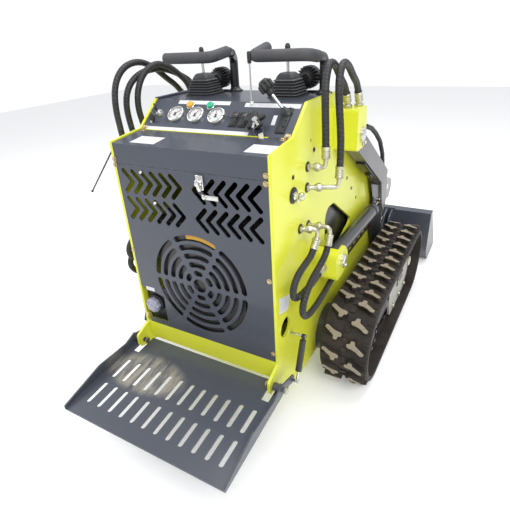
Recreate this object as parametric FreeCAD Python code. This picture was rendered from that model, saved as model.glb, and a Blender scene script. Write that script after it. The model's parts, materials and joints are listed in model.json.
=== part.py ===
import FreeCAD, Part
import math
import os

from FreeCAD import Vector

# Mini track loader, millimetres. X runs forward from the rear panel, Y to the left, Z up from the ground.
# Saved shapes are shifted along X so that the origin lies under the middle of the machine.

# --- driving dimensions ---------------------------------------------------------------
bodyHalf = 290.0          # half the width over the side plates
plateWall = 10.0          # side plates, ears and brackets
sheetWall = 4.0           # covers and panels
bodyTop = 1116.0          # flat top of the console
bodyFloor = 130.0         # underside of the belly
bodyFront = 1150.0        # front edge of the side plates
noseTop = 620.0           # height of the body at its front edge
ledgeTop = 1031.0         # where the rear ledge meets the console
ledgeLength = 143.0
consoleFoot = 243.0       # where the sloping console turns flat
consoleEnd = 480.0        # where the flat console ends and the hood begins
seat = 0.5                # gap that a cover keeps from the plates beside it
mate = 0.3                # gap between a piece and the seat that carries it
armGap = 5.0              # least gap beside a moving arm
pinClear = 0.05           # radial clearance of a pin in its bore

panelFoot = 325.0
panelSeam = 951.0
fanHeight = 552.0
fanRadius = 188.0
fanHub = 26.0
fanRings = 5
fanSpokes = 6
spokeWidth = 15.0
ringGap = 12.0            # metal left between two rings of slots
chevronFirst = 26.0       # from the middle to the tip of the first arrow
chevronMargin = 6.0       # plain edge outside the last arrow
chevronPitch = 38.6
chevronHalf = 34.5        # from an arrow's tip to the middle of its arm's round end, upwards
chevronLean = 32.5        # the same across
chevronWidth = 16.0
chevronRows = (895.0, 801.0)
notchWidth = 105.0        # cut-out at the panel's lower left corner
notchHeight = 135.0
capRadius = 31.0          # filler cap in the cut-out
capPlace = (238.0, 407.0)
beamHeight = 75.0         # rear beam, under the panel
engineHalf = 200.0
radiatorGap = 5.0         # between the radiator and the panel's cut-out

trackGap = 45.0           # between the body and the track
trackWidth = 186.0
trackRear = 424.0         # axle of the drive sprocket
trackFront = 1130.0       # axle of the front idler
trackRadius = 190.0       # out to the tips of the lugs
lugHeight = 22.0
beltWall = 25.0
trackFacets = 64
lugLength = 80.0
lugWall = 26.0
motorRadius = 98.0
wheelWidth = 60.0
rollerRadius = 37.7
rollers = 4

armPivot = (520.0, 970.0)
armPin = 17.0
legWall = 12.0            # lower plates of the arm, which also set the beam off the body
beamWall = 47.0
beamDepth = 80.0
kneePoint = (1010.0, 672.0)
liftBase = (370.0, 550.0)
liftTop = (1040.0, 523.0)
liftBarrel = 28.0
liftRod = 15.0
liftSide = 21.0           # from the arm's lower plate to the lift cylinder's middle
cylinderPin = 15.0
cheekWall = 8.0
hitchPivot = (1335.0, 200.0)
hitchPin = 16.0
tiltBase = (1235.0, 545.0)
tiltTop = (1385.0, 286.6)
tiltSide = 33.0           # from the arm's lower plate inwards to the tilt cylinder's middle
tiltBarrel = 24.0
tiltRod = 14.0
liftLength = 560.0        # barrels, from the pin to the gland's face
tiltLength = 222.0
barrelWall = 5.0
towerWidth = 84.0         # how far the arm and cylinder brackets stand out from the body
towerWall = 8.0
bracketReach = 70.0       # from the lift cylinder's lower pin back to its bracket's rear plate
stripStart = (691.0, 395.0)
stripLength = 397.0
stripSlots = 6

bucketHalf = 530.0
bucketBack = 1456.0
bucketLip = 1820.0
bucketHeight = 335.0
bucketWall = 8.0
bucketLift = 3.0          # height of the bucket's floor over the ground
hitchWall = 12.0
edgeWall = 14.0

foldPin = (-40.0, 258.0)
foldPinRadius = 9.0
earGap = 5.5             # from the body's ears to the strips of deck beside them
platformSide = 35.0       # how far the platform's side flanges stand off the body
platformRear = -400.0
platformWall = 5.0
flangeWall = 6.0
flangeTaper = 165.0      # length over which the platform's side flanges fall to the rear
flangeRise = 6.0         # height of the flanges' top over the fold pin, in front of that
platformDrop = 34.0       # fall of the deck from its hinge to its rear edge
slotRows = 2
slotCount = 12
slotPitch = 49.5
slotRowPitch = 120.0     # between the two rows
slotMargin = 100.0        # from the rear edge to the middle of the rear row
slotLength = 92.0
slotHalf = 8.0
springTop = (91.0, 390.0)
springFoot = (32.0, 239.0)
springSide = 16.0         # from the flange to the gas spring's middle
springRadius = 11.0
springStud = 5.0

fanCaseRear = 60.0
engineFoot = 300.0        # top of the rails that carry the engine
railLine = 155.0
roundHole = (61.0, 433.0)
roundHoleRadius = 36.0
knobPlace = (132.0, 868.0)
upperPorts = ((240.0, 925.0), (236.0, 859.0))
lowerPorts = ((181.0, 739.0), (246.0, 726.0))
leftPort = (168.0, 900.0)  # the third upper port, on the left only
portRadius = 12.0
gaugeLines = (162.0, 81.0, 0.0)
buttonLines = (121.0, 40.0)
rockerLines = (-70.0, -103.0)
throttleLine = -238.0     # middle of the throttle's slot, across
throttleShare = 0.48      # and up the slope
throttleHalf = 41.0       # half the slot's length
throttleWidth = 22.0      # the slot's width
chokeLine = -105.0
bootHalf = 52.0
bootStep = 5.5            # how much each rib is smaller than the one under it
bootRibs = 6
bootPitch = 11.0
bootPlace = (375.0, 165.0)
lampPlaces = ((470.0, 150.0), (470.0, -200.0))
gripRise = 121.0          # height of the hand grips over the console
gripRadius = 17.0
tubeRadius = 12.0
gripPlace = 300.0

hoseRadius = 11.0
sleeveRadius = 13.5       # crimped sleeves at the ends of the hoses
sleeveLength = 34.0
pipeRadius = 8.0
nutRadius = 17.0

middle = (platformRear + bucketLip) / 2
plateInner = bodyHalf - plateWall
slope = math.atan2(bodyTop - 4 - ledgeTop, consoleFoot - ledgeLength)
radiatorHalf = plateInner - notchWidth - radiatorGap
trackInner = bodyHalf + trackGap
legInner = bodyHalf + armGap
beamInner = legInner + legWall
liftLine = beamInner + liftSide
tiltLine = legInner - tiltSide
towerOuter = bodyHalf + towerWidth
platformHalf = bodyHalf + platformSide
springLine = platformHalf + springSide
gripHeight = bodyTop + gripRise


# --- helpers --------------------------------------------------------------------------
def point(u, v, at, plane):
    """A point with the two in-plane values u, v, at the given place along the normal."""
    if plane == "xz":
        return Vector(u, at, v)
    if plane == "yz":
        return Vector(at, u, v)
    return Vector(u, v, at)


def outline(corners, at, plane):
    """A closed wire through (u, v) or (u, v, radius) corners; a radius rounds its corner."""
    count = len(corners)
    legs = []
    for i, corner in enumerate(corners):
        here = Vector(corner[0], corner[1], 0)
        before = Vector(corners[i - 1][0], corners[i - 1][1], 0)
        after = Vector(corners[(i + 1) % count][0], corners[(i + 1) % count][1], 0)
        radius = corner[2] if len(corner) > 2 else 0
        if radius == 0:
            legs.append((here, None, here))
            continue
        back = (before - here).normalize()
        ahead = (after - here).normalize()
        half = back.getAngle(ahead) / 2
        reach = radius / math.tan(half)
        centre = here + (back + ahead).normalize() * (radius / math.sin(half))
        crown = centre + (here - centre).normalize() * radius
        legs.append((here + back * reach, crown, here + ahead * reach))
    edges = []
    for i, (start, crown, end) in enumerate(legs):
        if crown is not None:
            arc = [point(p.x, p.y, at, plane) for p in (start, crown, end)]
            edges.append(Part.Arc(*arc).toShape())
        nextStart = legs[(i + 1) % count][0]
        if (nextStart - end).Length > 1e-6:
            run = (point(end.x, end.y, at, plane), point(nextStart.x, nextStart.y, at, plane))
            edges.append(Part.LineSegment(*run).toShape())
    return Part.Wire(edges)


def slab(corners, low, high, plane="xz"):
    """An outline made solid between two places along the plane's normal."""
    face = Part.Face(outline(corners, low, plane))
    return face.extrude(point(0, 0, high - low, plane))


def block(x, y, z):
    """A box between pairs of low and high values."""
    return Part.makeBox(x[1] - x[0], y[1] - y[0], z[1] - z[0], Vector(x[0], y[0], z[0]))


def rod(at, radius, low, high, plane="xz"):
    """A round bar along the plane's normal."""
    return Part.makeCylinder(radius, high - low, point(at[0], at[1], low, plane), point(0, 0, 1, plane))


def bar(start, end, radius):
    """A round bar between two points in space."""
    return Part.makeCylinder(radius, (end - start).Length, start, end - start)


def join(*pieces):
    return pieces[0].fuse(list(pieces[1:])).removeSplitter()


def mirrored(shape):
    """The same piece on the right side."""
    return shape.mirror(Vector(0, 0, 0), Vector(0, 1, 0))


def both(shape):
    return [shape, mirrored(shape)]


def save(name, *shapes):
    """Writes a node, moved so that the origin is under the middle of the machine."""
    made = shapes[0] if len(shapes) == 1 else Part.makeCompound(list(shapes))
    made = made.copy()
    made.translate(Vector(-middle, 0, 0))
    if not made.isValid() or not made.Solids:
        raise ValueError(name + " is not a sound solid")
    made.exportStep("parts/" + name + ".step")


def saveSides(name, shape):
    """Writes a left piece and its mirror image as two nodes."""
    save(name + "_left", shape)
    save(name + "_right", mirrored(shape))


def along(start, end, distance):
    """A point at a distance from start towards end, both (x, z)."""
    length = math.dist(start, end)
    return (
        start[0] + (end[0] - start[0]) * distance / length,
        start[1] + (end[1] - start[1]) * distance / length,
    )


# --- body -----------------------------------------------------------------------------
def throughPlate(place, radius):
    """A cutter for a round hole in the left side plate."""
    return rod(place, radius, plateInner - 1, bodyHalf + 1)


def sidePlate(ports):
    body = slab(
        [
            (0, bodyFloor + 115),
            (0, 1020),
            (90, 1030),
            (ledgeLength, ledgeTop + sheetWall),
            (consoleFoot, bodyTop, 6),
            (consoleEnd, bodyTop, 30),
            (bodyFront, noseTop, 60),
            (bodyFront, bodyFloor, 40),
            (130, bodyFloor, 30),
        ],
        plateInner,
        bodyHalf,
    )
    ear = slab([(30, 330), (-66, 292, 14), (-68, 236, 24), (-20, 228, 12), (30, 220)], plateInner, bodyHalf)
    window = slab(
        [(404, 520, 12), (404, 722, 45), (496, 716, 20), (728, 560, 15), (600, 520, 20)],
        plateInner - 1,
        bodyHalf + 1,
    )
    holes = [window, throughPlate(roundHole, roundHoleRadius), throughPlate(foldPin, foldPinRadius + pinClear)]
    for place in ((637, 769), (700, 707), (780, 637), (266, 1000)):
        holes.append(throughPlate(place, 6))
    for place in ports:
        holes.append(throughPlate(place, portRadius))
    return join(body, ear).cut(holes)


def belly():
    """Belly plate with its two rails, which carry the engine."""
    deck = block((134, bodyFront - 14), (-plateInner, plateInner), (bodyFloor, bodyFloor + 8))
    rails = [block((134, 1000), (y - 5, y + 5), (bodyFloor + 8, engineFoot)) for y in (-railLine, railLine)]
    return join(deck, *rails)


def frontPlate():
    return block((bodyFront - 14, bodyFront - 6), (-plateInner, plateInner), (bodyFloor + 8, noseTop - 39.5))


def rearBeam():
    return block((0, 40), (-plateInner, plateInner), (panelFoot - beamHeight, panelFoot))


def fillerCap():
    """The cap behind the panel's cut-out, on an upright plate that stands on the rear beam."""
    high = panelFoot + notchHeight + 20
    plate = block((22, 26), (radiatorHalf + 2, plateInner - seat), (panelFoot + mate, high))
    return join(plate, rod(capPlace, capRadius - 6, 12, 22, "yz"), rod(capPlace, capRadius, -8, 13, "yz"))


def arcSlot(inner, outer, first, last):
    """A slot along an arc about the fan's centre, round at both ends, as a cutter through the panel."""
    centre = (inner + outer) / 2
    cap = (outer - inner) / 2 / centre

    def at(radius, angle):
        return Vector(-1, radius * math.cos(angle), fanHeight + radius * math.sin(angle))

    half = (first + last) / 2
    edges = [
        Part.Arc(at(outer, first), at(outer, half), at(outer, last)).toShape(),
        Part.Arc(at(outer, last), at(centre, last + cap), at(inner, last)).toShape(),
        Part.Arc(at(inner, last), at(inner, half), at(inner, first)).toShape(),
        Part.Arc(at(inner, first), at(centre, first - cap), at(outer, first)).toShape(),
    ]
    return Part.Face(Part.Wire(edges)).extrude(Vector(sheetWall + 2, 0, 0))


def slotRing(inner, outer):
    """The slots of one ring, between its spokes."""
    gap = (spokeWidth + outer - inner) / (inner + outer)
    step = 2 * math.pi / fanSpokes
    return [arcSlot(inner, outer, step * i + gap, step * (i + 1) - gap) for i in range(fanSpokes)]


def chevrons():
    """The arrow-shaped vents with round ends: two rows a side, each pointing to the middle."""
    cutters = []
    half = chevronWidth / 2
    room = plateInner - seat - chevronMargin - chevronLean - half - chevronFirst
    count = 1 + int(room / chevronPitch)
    arm = math.hypot(chevronLean, chevronHalf)
    low, high = -1, sheetWall + 1
    for row in chevronRows:
        for side in (-1, 1):
            for i in range(count):
                tip = side * (chevronFirst + chevronPitch * i)
                bend = rod((tip, row), half, low, high, "yz")
                arms = []
                for end in ((tip + side * chevronLean, row + chevronHalf), (tip + side * chevronLean, row - chevronHalf)):
                    across = ((end[1] - row) / arm * half, (tip - end[0]) / arm * half)
                    corners = [
                        (tip + across[0], row + across[1]),
                        (end[0] + across[0], end[1] + across[1]),
                        (end[0] - across[0], end[1] - across[1]),
                        (tip - across[0], row - across[1]),
                    ]
                    arms += [slab(corners, low, high, "yz"), rod(end, half, low, high, "yz")]
                cutters.append(join(bend, *arms))
    return cutters


def rearPanel():
    half = plateInner - seat
    corner = (plateInner - notchWidth, panelFoot + notchHeight)
    plate = slab(
        [
            (-half, panelFoot + seat),
            (half - 14, panelFoot + seat),
            (half - 14, panelFoot + 20),
            (corner[0], panelFoot + 20, 8),
            (corner[0], corner[1], 10),
            (half, corner[1] + 26),
            (half, panelSeam - seat),
            (-half, panelSeam - seat),
        ],
        0,
        sheetWall,
        "yz",
    )
    cutters = [rod((0, fanHeight), fanHub, -1, sheetWall + 1, "yz")]
    width = (fanRadius - fanHub - ringGap * fanRings) / fanRings
    for i in range(fanRings):
        inner = fanHub + ringGap + i * (width + ringGap)
        cutters += slotRing(inner, inner + width)
    return plate.cut(cutters + chevrons())


def folded(line, wall, half):
    """A sheet folded along X: its outer line of (x, z) points, its wall below them, its half width."""
    inner = []
    for i, (x, z) in enumerate(line):
        before = Vector(*(line[i][k] - line[i - 1][k] for k in (0, 1)), 0) if i else None
        after = Vector(*(line[i + 1][k] - line[i][k] for k in (0, 1)), 0) if i + 1 < len(line) else None
        sides = [Vector(d.y, -d.x, 0).normalize() for d in (before, after) if d]
        lean = sides[0] + sides[-1]
        scale = wall * 2 / lean.Length / max(lean.Length / 2, 0.2)
        inner.append((x + lean.x * scale / 2, z + lean.y * scale / 2))
    return slab(list(line) + inner[::-1], -half, half)


def topCover():
    line = [(0, panelSeam + seat), (0, 1016), (90, 1026), (ledgeLength - seat, ledgeTop)]
    return folded(line, sheetWall, plateInner - seat)


def console():
    line = [(ledgeLength, ledgeTop), (consoleFoot, bodyTop - 4), (consoleEnd - seat, bodyTop - 4)]
    sheet = folded(line, sheetWall, plateInner - seat)
    reach = throttleHalf * math.cos(slope)
    middleX = onSlope(throttleShare, 0, 0).x
    sides = (throttleLine - throttleWidth / 2, throttleLine + throttleWidth / 2)
    slot = block((middleX - reach, middleX + reach), sides, (ledgeTop - 20, bodyTop + 20))
    wells = [rod((bootPlace[0], side * bootPlace[1]), 40, bodyTop - 30, bodyTop, "xy") for side in (-1, 1)]
    return sheet.cut([slot] + wells)


def hood():
    top = bodyTop - sheetWall
    line = [
        (consoleEnd, top),
        (consoleEnd + 14, top),
        (consoleEnd + 40, top - 26),
        (bodyFront - 50, noseTop + 20),
        (bodyFront, noseTop - 40),
    ]
    return folded(line, sheetWall, plateInner - seat)


def engine():
    crank = block((120, 560), (-engineHalf, engineHalf), (engineFoot, 760))
    fanCase = rod((0, fanHeight), 205, fanCaseRear, 121, "yz")
    return join(crank, fanCase)


def radiator():
    return block((12, fanCaseRear - mate), (-radiatorHalf, radiatorHalf), (panelFoot + mate, 770))


# --- console fittings -----------------------------------------------------------------
def onSlope(share, y, height):
    """A point on the sloping panel: its share of the way up, its place across, its height off the sheet."""
    x = ledgeLength + (consoleFoot - ledgeLength) * share - math.sin(slope) * height
    z = ledgeTop + (bodyTop - 4 - ledgeTop) * share + math.cos(slope) * height
    return Vector(x, y, z)


def slopeDisc(share, y, radius, low, high):
    return bar(onSlope(share, y, low), onSlope(share, y, high), radius)


def gauges():
    return [join(slopeDisc(0.51, y, 30, 0, 8), slopeDisc(0.51, y, 26, 7, 12)) for y in gaugeLines]


def switches():
    made = [slopeDisc(0.815, y, 12, 0, 12) for y in buttonLines]
    for y in rockerLines:
        key = block((-27, 27), (-12, 12), (0, 9))
        key.rotate(Vector(0, 0, 0), Vector(0, 1, 0), -math.degrees(slope))
        key.translate(onSlope(0.45, y, 0))
        made.append(key)
    for share, y, radius in ((0.52, 232, 13), (0.30, -158, 15)):
        made.append(join(slopeDisc(share, y, radius, 0, 10), slopeDisc(share, y, radius - 8, 9, 34)))
    return made


def throttle():
    """The lever in its slot, with a round knob and the slot's raised plate."""
    side = throttleWidth / 2 + 4
    gate = block((-throttleHalf - 5, throttleHalf + 5), (-side, side), (0, 4))
    gate.rotate(Vector(0, 0, 0), Vector(0, 1, 0), -math.degrees(slope))
    gate.translate(onSlope(throttleShare, throttleLine, 0))
    foot = onSlope(0.6, throttleLine - 15, -20)
    top = Vector(204, throttleLine + 62, bodyTop + 46)
    return join(bar(foot, top, 5), Part.makeSphere(24, top), gate)


def chokeRod():
    """A thin upright rod with a black cap, beside the throttle."""
    foot = onSlope(0.94, chokeLine, 0)
    tip = Vector(foot.x, foot.y, bodyTop + 138)
    return join(bar(foot + Vector(0, 0, 4), tip, 3), bar(tip - Vector(0, 0, 32), tip, 7), slopeDisc(0.94, chokeLine, 8, 0, 5))


def square(place, half, radius):
    x, y = place
    return [(x + u * half, y + v * half, radius) for u, v in ((-1, -1), (1, -1), (1, 1), (-1, 1))]


def boot():
    """A square rubber bellows that narrows upwards."""
    made = []
    for i in range(bootRibs):
        half = bootHalf - i * bootStep
        low = bodyTop - sheetWall + i * bootPitch
        made.append(slab(square(bootPlace, half, 9), low, low + 8, "xy"))
        made.append(slab(square(bootPlace, half - 8, 6), low + 7, low + bootPitch + 1, "xy"))
    return join(*made)


def joystick():
    foot = bodyTop - sheetWall + bootRibs * bootPitch + 1 + mate
    stick = rod(bootPlace, 5, foot, foot + 64, "xy")
    knob = rod(bootPlace, 9, foot + 56, foot + 88, "xy")
    return join(stick, knob)


def workLamp(place):
    x, y = place
    case = rod((y, bodyTop + 44), 35, x - 10, x + 18, "yz")
    back = rod((y, bodyTop + 44), 27, x - 40, x - 9, "yz")
    foot = block((x - 8, x + 8), (y - 8, y + 8), (bodyTop - 4, bodyTop + 12))
    return join(case, back, foot)


def tube(points, radius, bend):
    """A round tube along straight runs with rounded corners."""
    edges = []
    start = points[0]
    for i in range(1, len(points) - 1):
        corner = points[i]
        back = (points[i - 1] - corner).normalize()
        ahead = (points[i + 1] - corner).normalize()
        half = back.getAngle(ahead) / 2
        reach = bend / math.tan(half)
        centre = corner + (back + ahead).normalize() * (bend / math.sin(half))
        crown = centre + (corner - centre).normalize() * bend
        first = corner + back * reach
        last = corner + ahead * reach
        edges.append(Part.LineSegment(start, first).toShape())
        edges.append(Part.Arc(first, crown, last).toShape())
        start = last
    edges.append(Part.LineSegment(start, points[-1]).toShape())
    path = Part.Wire(edges)
    ring = Part.Wire([Part.Circle(points[0], points[1] - points[0], radius).toShape()])
    return path.makePipeShell([ring], True, False)


def gripTube(points):
    return tube([Vector(*p) for p in points], tubeRadius, 26)


leftBar = [
    (gripPlace, 262, gripHeight),
    (gripPlace, 75, gripHeight),
    (400, 66, gripHeight + 14),
    (474, 98, gripHeight - 14),
    (474, 98, bodyTop - sheetWall + mate),
]
rightBar = [
    (412, -72, gripHeight + 18),
    (gripPlace, -80, gripHeight),
    (gripPlace, -268, gripHeight),
    (436, -264, gripHeight - 16),
    (436, -264, bodyTop - sheetWall + mate),
]


def grip(route, run, share):
    """A foam sleeve round a bar, up to a share of the way along its given run."""
    first, last = (Vector(*p) for p in route[run:run + 2])
    points = [Vector(*p) for p in route[:run + 1]] + [first + (last - first) * share]
    return tube(points, gripRadius, 26).cut(tube(points, tubeRadius, 26))


# --- tracks ---------------------------------------------------------------------------
def loopPoint(distance, radius):
    """A point and the outward direction, at a distance along the track's middle line."""
    run = trackFront - trackRear
    belt = trackRadius - lugHeight
    turn = math.pi * belt
    distance = distance % (2 * run + 2 * turn)
    if distance < run:
        return trackRear + distance, trackRadius - radius, 0.0, -1.0
    if distance < run + turn:
        angle = (distance - run) / belt - math.pi / 2
        return trackFront + radius * math.cos(angle), trackRadius + radius * math.sin(angle), math.cos(angle), math.sin(angle)
    if distance < 2 * run + turn:
        return trackFront - (distance - run - turn), trackRadius + radius, 0.0, 1.0
    angle = (distance - 2 * run - turn) / belt + math.pi / 2
    return trackRear + radius * math.cos(angle), trackRadius + radius * math.sin(angle), math.cos(angle), math.sin(angle)


def lugOutline(side):
    """A wavy bar with a short branch, in the plane of its tread: (across, along)."""
    half = lugLength / 2
    wide = lugWall / 2
    return [
        (side * -half, 14 - wide),
        (side * -half, 14 + wide),
        (side * -8, wide + 1),
        (side * half, -12 + wide),
        (side * half, -12 - wide),
        (side * 16, -14 - wide),
        (side * 8, -26),
        (side * -8, -26),
        (side * -12, -4),
    ]


def track():
    run = trackFront - trackRear
    belt = trackRadius - lugHeight
    length = 2 * run + 2 * math.pi * belt
    step = length / trackFacets
    rims = []
    for radius in (belt, belt - beltWall):
        rims.append([loopPoint(step * i, radius)[:2] for i in range(trackFacets)])
    outer = slab(rims[0], trackInner, trackInner + trackWidth)
    inner = slab(rims[1], trackInner - 1, trackInner + trackWidth + 1)
    lugs = []
    for i in range(trackFacets):
        first = rims[0][i]
        last = rims[0][(i + 1) % trackFacets]
        side = 1 if i % 2 else -1
        ahead = Vector(last[0] - first[0], 0, last[1] - first[1]).normalize()
        out = Vector(ahead.z, 0, -ahead.x)
        across = trackInner + trackWidth / 2 + side * 44
        centre = Vector((first[0] + last[0]) / 2, across, (first[1] + last[1]) / 2)
        corners = [centre + Vector(0, u, 0) + ahead * v * 0.62 - out * 3 for u, v in lugOutline(side)]
        face = Part.Face(Part.makePolygon(corners + corners[:1]))
        lugs.append(face.extrude(out * (lugHeight + 3)))
    return outer.cut(inner).fuse(lugs)


wheelRim = trackRadius - lugHeight - beltWall
wheelLow = trackInner + (trackWidth - wheelWidth) / 2
wheelHigh = wheelLow + wheelWidth
frameLow = wheelHigh + 18
frameWall = 10.0


def wheel(x):
    """A spoked wheel with its hub out to the frame plate."""
    rim = rod((x, trackRadius), wheelRim - 1.2, wheelLow, wheelHigh)
    hollow = rod((x, trackRadius), wheelRim - 24, wheelLow - 1, wheelLow + 22)
    hub = rod((x, trackRadius), 34, wheelLow, frameLow)
    return join(rim.cut(hollow), hub)


def rollerSet():
    made = []
    first = trackRear + wheelRim + rollerRadius + 14
    last = trackFront - wheelRim - rollerRadius - 14
    level = lugHeight + beltWall + rollerRadius + 0.3
    for i in range(rollers):
        x = first + (last - first) * i / (rollers - 1)
        made.append(join(rod((x, level), rollerRadius, wheelLow, wheelHigh), rod((x, level), 12, wheelLow, frameLow)))
    return made


def trackFrame():
    """The outer frame plate, its beam between the wheels and its two arms from the body."""
    outer = slab(
        [
            (trackRear + 262, 322, 20),
            (trackFront - 65, 322, 20),
            (trackFront + 10, 250, 40),
            (trackFront, 130, 20),
            (trackFront - 75, 70, 20),
            (trackRear + 348, 70, 20),
        ],
        frameLow,
        frameLow + frameWall,
    )
    beam = block((trackRear + wheelRim + 14, trackFront - wheelRim - 14), (wheelLow, frameLow), (136, 250))
    arms = [rod((x, 195), 40, bodyHalf, wheelLow + 2) for x in (700, 905)]
    return join(outer, beam, *arms)


def driveMotor():
    """The motor's casing against the body, and its neck to the sprocket."""
    neck = rod((trackRear, trackRadius), 62, bodyHalf, wheelLow - 2)
    return join(neck, rod((trackRear, trackRadius), motorRadius, bodyHalf, trackInner + 20))


# --- arm ------------------------------------------------------------------------------
def tower():
    """Box round the rear end of an arm: outer, rear and top plates."""
    x, z = armPivot
    rear = x - beamDepth / 2 - armGap - towerWall - 1
    top = z + 90
    corners = [(rear, z - 50, 12), (rear, top, 12), (x + 42, top, 16), (x + 50, z - 5, 30), (x + 28, z - 50, 24)]
    shell = slab(corners, bodyHalf, towerOuter)
    inner = [(rear + towerWall, z - 70), (rear + towerWall, top - towerWall), (x + 80, top - towerWall), (x + 80, z - 70)]
    room = slab(inner, bodyHalf - 1, towerOuter - towerWall)
    return shell.cut([room, rod(armPivot, armPin, bodyHalf, towerOuter + 1)])


def cylinderBracket():
    """Box round the lower end of a lift cylinder, open in front and at its top front corner."""
    x, z = liftBase
    rear = x - bracketReach
    corners = [(rear, z - 64, 30), (rear, z + 56, 30), (x + 13, z + 56, 34), (x + 66, z + 6, 30), (x + 30, z - 58, 30)]
    shell = slab(corners, bodyHalf, towerOuter)
    inner = [
        (rear + 12, z - 48, 16),
        (rear + 12, z + 44, 16),
        (x - 32, z + 44),
        (x - 32, z + 70),
        (x + 100, z + 70),
        (x + 100, z - 48),
    ]
    room = slab(inner, bodyHalf - 1, towerOuter - towerWall)
    return shell.cut([room, rod(liftBase, cylinderPin, bodyHalf, towerOuter + 1)])


def sideStrip():
    """The slotted guard strip on a side plate, below the lift cylinder."""
    x, z = stripStart
    strip = slab([(x, z), (x + stripLength, z), (x + stripLength, z + 40), (x, z + 40)], bodyHalf + mate, bodyHalf + 4)
    pitch = stripLength / stripSlots
    slots = []
    for i in range(stripSlots):
        low = x + pitch * i + 9
        high = low + pitch - 18
        corners = [(low, z + 13, 6.9), (high, z + 13, 6.9), (high, z + 27, 6.9), (low, z + 27, 6.9)]
        slots.append(slab(corners, bodyHalf, bodyHalf + 5))
    return strip.cut(slots)


def headedPin(place, radius, low, high, head):
    """A pin along Y with a round head at its outer end."""
    return join(rod(place, radius, low, high), rod(place, radius + 9, high - head, high))


def bodyPins():
    made = both(headedPin(armPivot, armPin, bodyHalf, towerOuter + 8, 8))
    made += both(headedPin(liftBase, cylinderPin, bodyHalf, towerOuter + 8, 8))
    return made + both(rod(springTop, springStud, bodyHalf, springLine + 9))


def armBeam():
    """The upper beam of an arm, with its pivot boss and the cheek for the lift cylinder."""
    far = along(armPivot, kneePoint, math.dist(armPivot, kneePoint) + 40)
    lean = math.atan2(kneePoint[1] - armPivot[1], kneePoint[0] - armPivot[0])
    up = (-math.sin(lean) * beamDepth / 2, math.cos(lean) * beamDepth / 2)
    corners = [
        (armPivot[0] + up[0], armPivot[1] + up[1]),
        (far[0] + up[0], far[1] + up[1], 18),
        (far[0] - up[0], far[1] - up[1], 18),
        (armPivot[0] - up[0], armPivot[1] - up[1]),
    ]
    beam = slab(corners, beamInner, beamInner + beamWall)
    end = rod(armPivot, beamDepth / 2, beamInner, beamInner + beamWall)
    boss = rod(armPivot, 30, bodyHalf + 4, towerOuter - towerWall - 4)
    outer = beamInner + beamWall
    x, z = liftTop
    cheek = slab(
        [(x - 100, z + 177, 10), (x + 20, z + 127, 10), (x + 36, z - 3, 30), (x, z - 35, 24), (x - 38, z - 3, 30)],
        outer - cheekWall,
        outer,
    )
    bore = rod(armPivot, armPin + pinClear, bodyHalf, towerOuter)
    return join(beam, end, boss, cheek).cut(bore)


def armLeg():
    """The lower plate of an arm, from the knee down to the hitch."""
    knee, hitch, tilt = kneePoint, hitchPivot, tiltBase
    corners = [
        (knee[0] - 80, knee[1] + 18, 10),
        (knee[0] - 6, knee[1] - 112, 30),
        (knee[0] - 10, knee[1] - 272, 60),
        (hitch[0] - 255, hitch[1] + 50, 40),
        (hitch[0] - 135, hitch[1] - 24, 40),
        (hitch[0] + 20, hitch[1] - 40, 30),
        (hitch[0] + 38, hitch[1], 30),
        (hitch[0] + 10, hitch[1] + 42, 20),
        (hitch[0] - 95, hitch[1] + 100, 60),
        (tilt[0] - 43, tilt[1] - 145, 60),
        (tilt[0] - 25, tilt[1] - 65, 30),
        (tilt[0] + 55, tilt[1] - 45, 30),
        (tilt[0] + 51, tilt[1] + 35, 40),
        (tilt[0] - 75, tilt[1] + 101, 30),
        (knee[0] + 70, knee[1] + 18, 10),
    ]
    plate = slab(corners, legInner, legInner + legWall)
    bores = [rod(hitchPivot, hitchPin + pinClear, 0, towerOuter), rod(tiltBase, cylinderPin, 0, towerOuter)]
    return plate.cut(bores)


def toePlate():
    """The six-sided plate on the outside of an arm's front, over the tilt cylinder's upper pin."""
    x, z = tiltBase
    corners = [(x - 135, z + 91), (x - 69, z + 77), (x + 95, z + 15), (x + 115, z - 29), (x + 75, z - 83), (x - 85, z - 61)]
    low = legInner + legWall
    plate = slab(corners, low, low + 8)
    return plate.cut([rod((x - 45, z + 15), 15, low - 1, low + 9), rod(tiltBase, cylinderPin, 0, towerOuter)])


def crossTube():
    return rod((1205, 300), 34, -legInner, legInner)


def tiltPins():
    low = tiltLine - 26
    return both(join(rod(tiltBase, cylinderPin, low, legInner + legWall + 14), rod(tiltBase, cylinderPin + 8, low - 8, low)))


def barrel(base, top, radius, line, eye, width, length):
    """A hydraulic cylinder's barrel from its eye towards the rod's eye, closed by its gland."""
    start = Vector(base[0], line, base[1])
    aim = (Vector(top[0], line, top[1]) - start).normalize()
    tube = bar(start + aim * (eye - 4), start + aim * length, radius)
    gland = bar(start + aim * (length - 26), start + aim * length, radius + 3)
    ring = rod(base, eye, line - width / 2, line + width / 2)
    bore = bar(start + aim * (eye + 16), start + aim * (length + 1), radius - barrelWall)
    return join(tube, gland, ring).cut([bore, rod(base, cylinderPin + pinClear, line - 60, line + 60)])


def piston(base, top, radius, line, eye, width, length, room):
    """The rod with its piston inside the barrel, its eye and the short pin that the eye carries."""
    start = Vector(base[0], line, base[1])
    end = Vector(top[0], line, top[1])
    aim = (end - start).normalize()
    shaft = bar(end - aim * length, end - aim * (eye - 4), radius)
    head = bar(end - aim * length, end - aim * (length - 22), room)
    ring = rod(top, eye, line - width / 2, line + width / 2)
    return join(shaft, head, ring)


def liftBarrelPiece():
    return barrel(liftBase, liftTop, liftBarrel, liftLine, 30, 50, liftLength)


def liftRodPiece():
    return piston(liftBase, liftTop, liftRod, liftLine, 28, 24, 430, liftBarrel - barrelWall - 0.1)


def tiltBarrelPiece():
    return barrel(tiltBase, tiltTop, tiltBarrel, tiltLine, 27, 40, tiltLength)


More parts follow.
